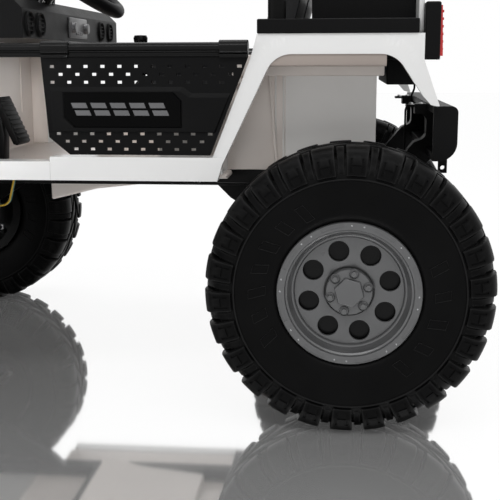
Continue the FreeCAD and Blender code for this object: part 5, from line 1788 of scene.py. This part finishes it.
@dataclass
class Bonnet:
    """The hood's side latches, louvres and washer jets, and the grille's frame."""

    louvres: int = 5

    def build(self) -> None:
        """Make the hood's trim and the grille's frame."""
        starts = [0.2900 + index * 0.0170 for index in range(self.louvres)]
        trim = Shapes.together(
            Shapes.block((0.4300, 0.2185, 0.5520), (0.4520, 0.2225, 0.5820), 0.0015),
            Shapes.block((0.4320, 0.2205, 0.5740), (0.4500, 0.2252, 0.5900), 0.0020),
            Shapes.block((0.4355, 0.2215, 0.5560), (0.4465, 0.2240, 0.5760), 0.0015),
            *[Shapes.block((x, 0.0900, 0.6045), (x + 0.0090, 0.1600, 0.6075), 0.0014)
              for x in starts],
            Shapes.rod((0.2500, 0.0900, 0.6040), (0.2500, 0.0900, 0.6100), 0.0045))
        Shapes.pair(trim, "hood_trim", "vehicle", BLACK_GRAIN)
        sides = ((-0.1000, 0.4340, 0.1000, 0.4405), (-0.1000, 0.5315, 0.1000, 0.5380),
                 (-0.1000, 0.4340, -0.0945, 0.5380), (0.0945, 0.4340, 0.1000, 0.5380))
        grille = Shapes.together(
            *[Shapes.block((0.5830, left, low), (0.5895, right, high), 0.0012)
              for left, low, right, high in sides])
        Shapes.piece(grille, "grille_frame", "vehicle", BLACK_SATIN)


@dataclass
class BoxTrim:
    """What closes the space round the seat box: lid edge, side panel, bed liner and skid."""

    tail: float = -0.4636
    liner_front: float = -0.3020

    def edge(self) -> Mesh:
        """The left edge of the box's lid with the round peg below it."""
        return Shapes.together(
            Shapes.block((self.tail, 0.2536, 0.4890), (-0.2400, 0.2612, 0.5198), 0.0022),
            Shapes.rod((-0.2480, 0.2560, 0.4830), (-0.2480, 0.2650, 0.4830), 0.0060))

    def liner(self) -> Mesh:
        """The liner under the cargo bed's left half, darkened with painted shade."""
        low, high = (self.tail, 0.2580, 0.5032), (self.liner_front, 0.3430, 0.5064)
        return Shapes.together(Shapes.block(low, high, 0.0010), Shapes.block(
            (self.tail, 0.3400, 0.5032), (self.liner_front, 0.3430, 0.5230), 0.0010))

    def panel(self) -> Mesh:
        """The smooth panel on the left side of the box's front, with its slanted rib.

        Returns:
            The new mesh.
        """
        flat = [(-0.3190, 0.3502), (-0.1950, 0.3502), (-0.2350, 0.4892), (-0.3190, 0.4892)]
        rib = [(-0.3090, 0.3510), (-0.3050, 0.3510), (-0.2940, 0.4892), (-0.2980, 0.4892)]
        return Shapes.together(Shapes.slab(flat, 0.2546, 0.2566, 0.0008),
                               Shapes.slab(rib, 0.2550, 0.2610, 0.0010))

    def build(self) -> None:
        """Make both sides' pieces."""
        skid = Shapes.block((-0.4500, 0.2000, 0.3300), (-0.2150, 0.2578, 0.3500), 0.0010)
        for name, bm, finish in (("box_lid_edge", self.edge(), SHELL_WARM),
                                 ("box_side_panel", self.panel(), SHELL_WARM),
                                 ("bed_liner", self.liner(), SHELL_SHADE),
                                 ("box_skid", skid, BLACK_COAT)):
            Shapes.pair(bm, name, "vehicle", finish)


@dataclass
class Panels:
    """The body's mouldings and steel parts, carried over and rounded."""

    white: Tuple[Tuple[str, float], ...] = (
        ("rear_flare_left", 0.005), ("rear_flare_right", 0.005),
        ("front_flare_left", 0.005), ("front_flare_right", 0.005),
        ("tail_panel", 0.003), ("front_shell", 0.006), ("hood", 0.008), ("cowl", 0.003))
    shell: Tuple[Tuple[str, float], ...] = (("seat_box", 0.004),)
    warm: Tuple[Tuple[str, float], ...] = (("floor_tub", 0.004), ("console", 0.003))
    black: Tuple[Tuple[str, float], ...] = (
        ("cargo_bed", 0.002), ("front_bumper", 0.003), ("rear_bumper", 0.002),
        ("grille", 0.0015), ("tail_lamp_left", 0.003), ("tail_lamp_right", 0.003),
        ("dashboard", 0.006))
    steel: Tuple[Tuple[str, float], ...] = (
        ("chassis_frame", 0.002), ("windscreen_frame", 0.003))

    def build(self, frame: dict) -> None:
        """Round each node with the finish of its group.
        """
        for nodes, finish in ((self.white, GLOSS_WHITE), (self.shell, SHELL_WHITE),
                              (self.warm, SHELL_WARM), (self.black, BLACK_GRAIN),
                              (self.steel, BLACK_COAT)):
            for node, radius in nodes:
                Moulding(node, finish, radius).build(frame)


def dress_rest(frame: dict) -> None:
    """Give every carried-over CAD node the finish of its slot.
    """
    for name, made in frame["nodes"].items():
        for slot in made.material_slots:
            word = slot.material.name.split(".")[0] if slot.material else ""
            if word in CHOSEN:
                continue
            finish = SLOT_FINISHES.get(word)
            if finish is None:
                LOG.info("node %s has no finish for %r", name, word)
                continue
            slot.material = finish.material()


def main() -> None:
    """Build the studio and dress the whole vehicle, sub-assembly by sub-assembly."""
    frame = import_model()
    Studio().build()
    Panels().build(frame)
    Door().build(frame)
    Footwell().build()
    BoxTrim().build()
    Cab().build(frame)
    Lamps().build(frame)
    Running().build()
    Bonnet().build()
    for node, finish in (("front_lead_outer", LEAD_YELLOW), ("front_lead_inner", LEAD_TEAL)):
        Moulding(node, finish).dress(frame)
    Wheels(Tyre(), Rim()).build()
    dress_rest(frame)


if __name__ == "__main__":
    main()
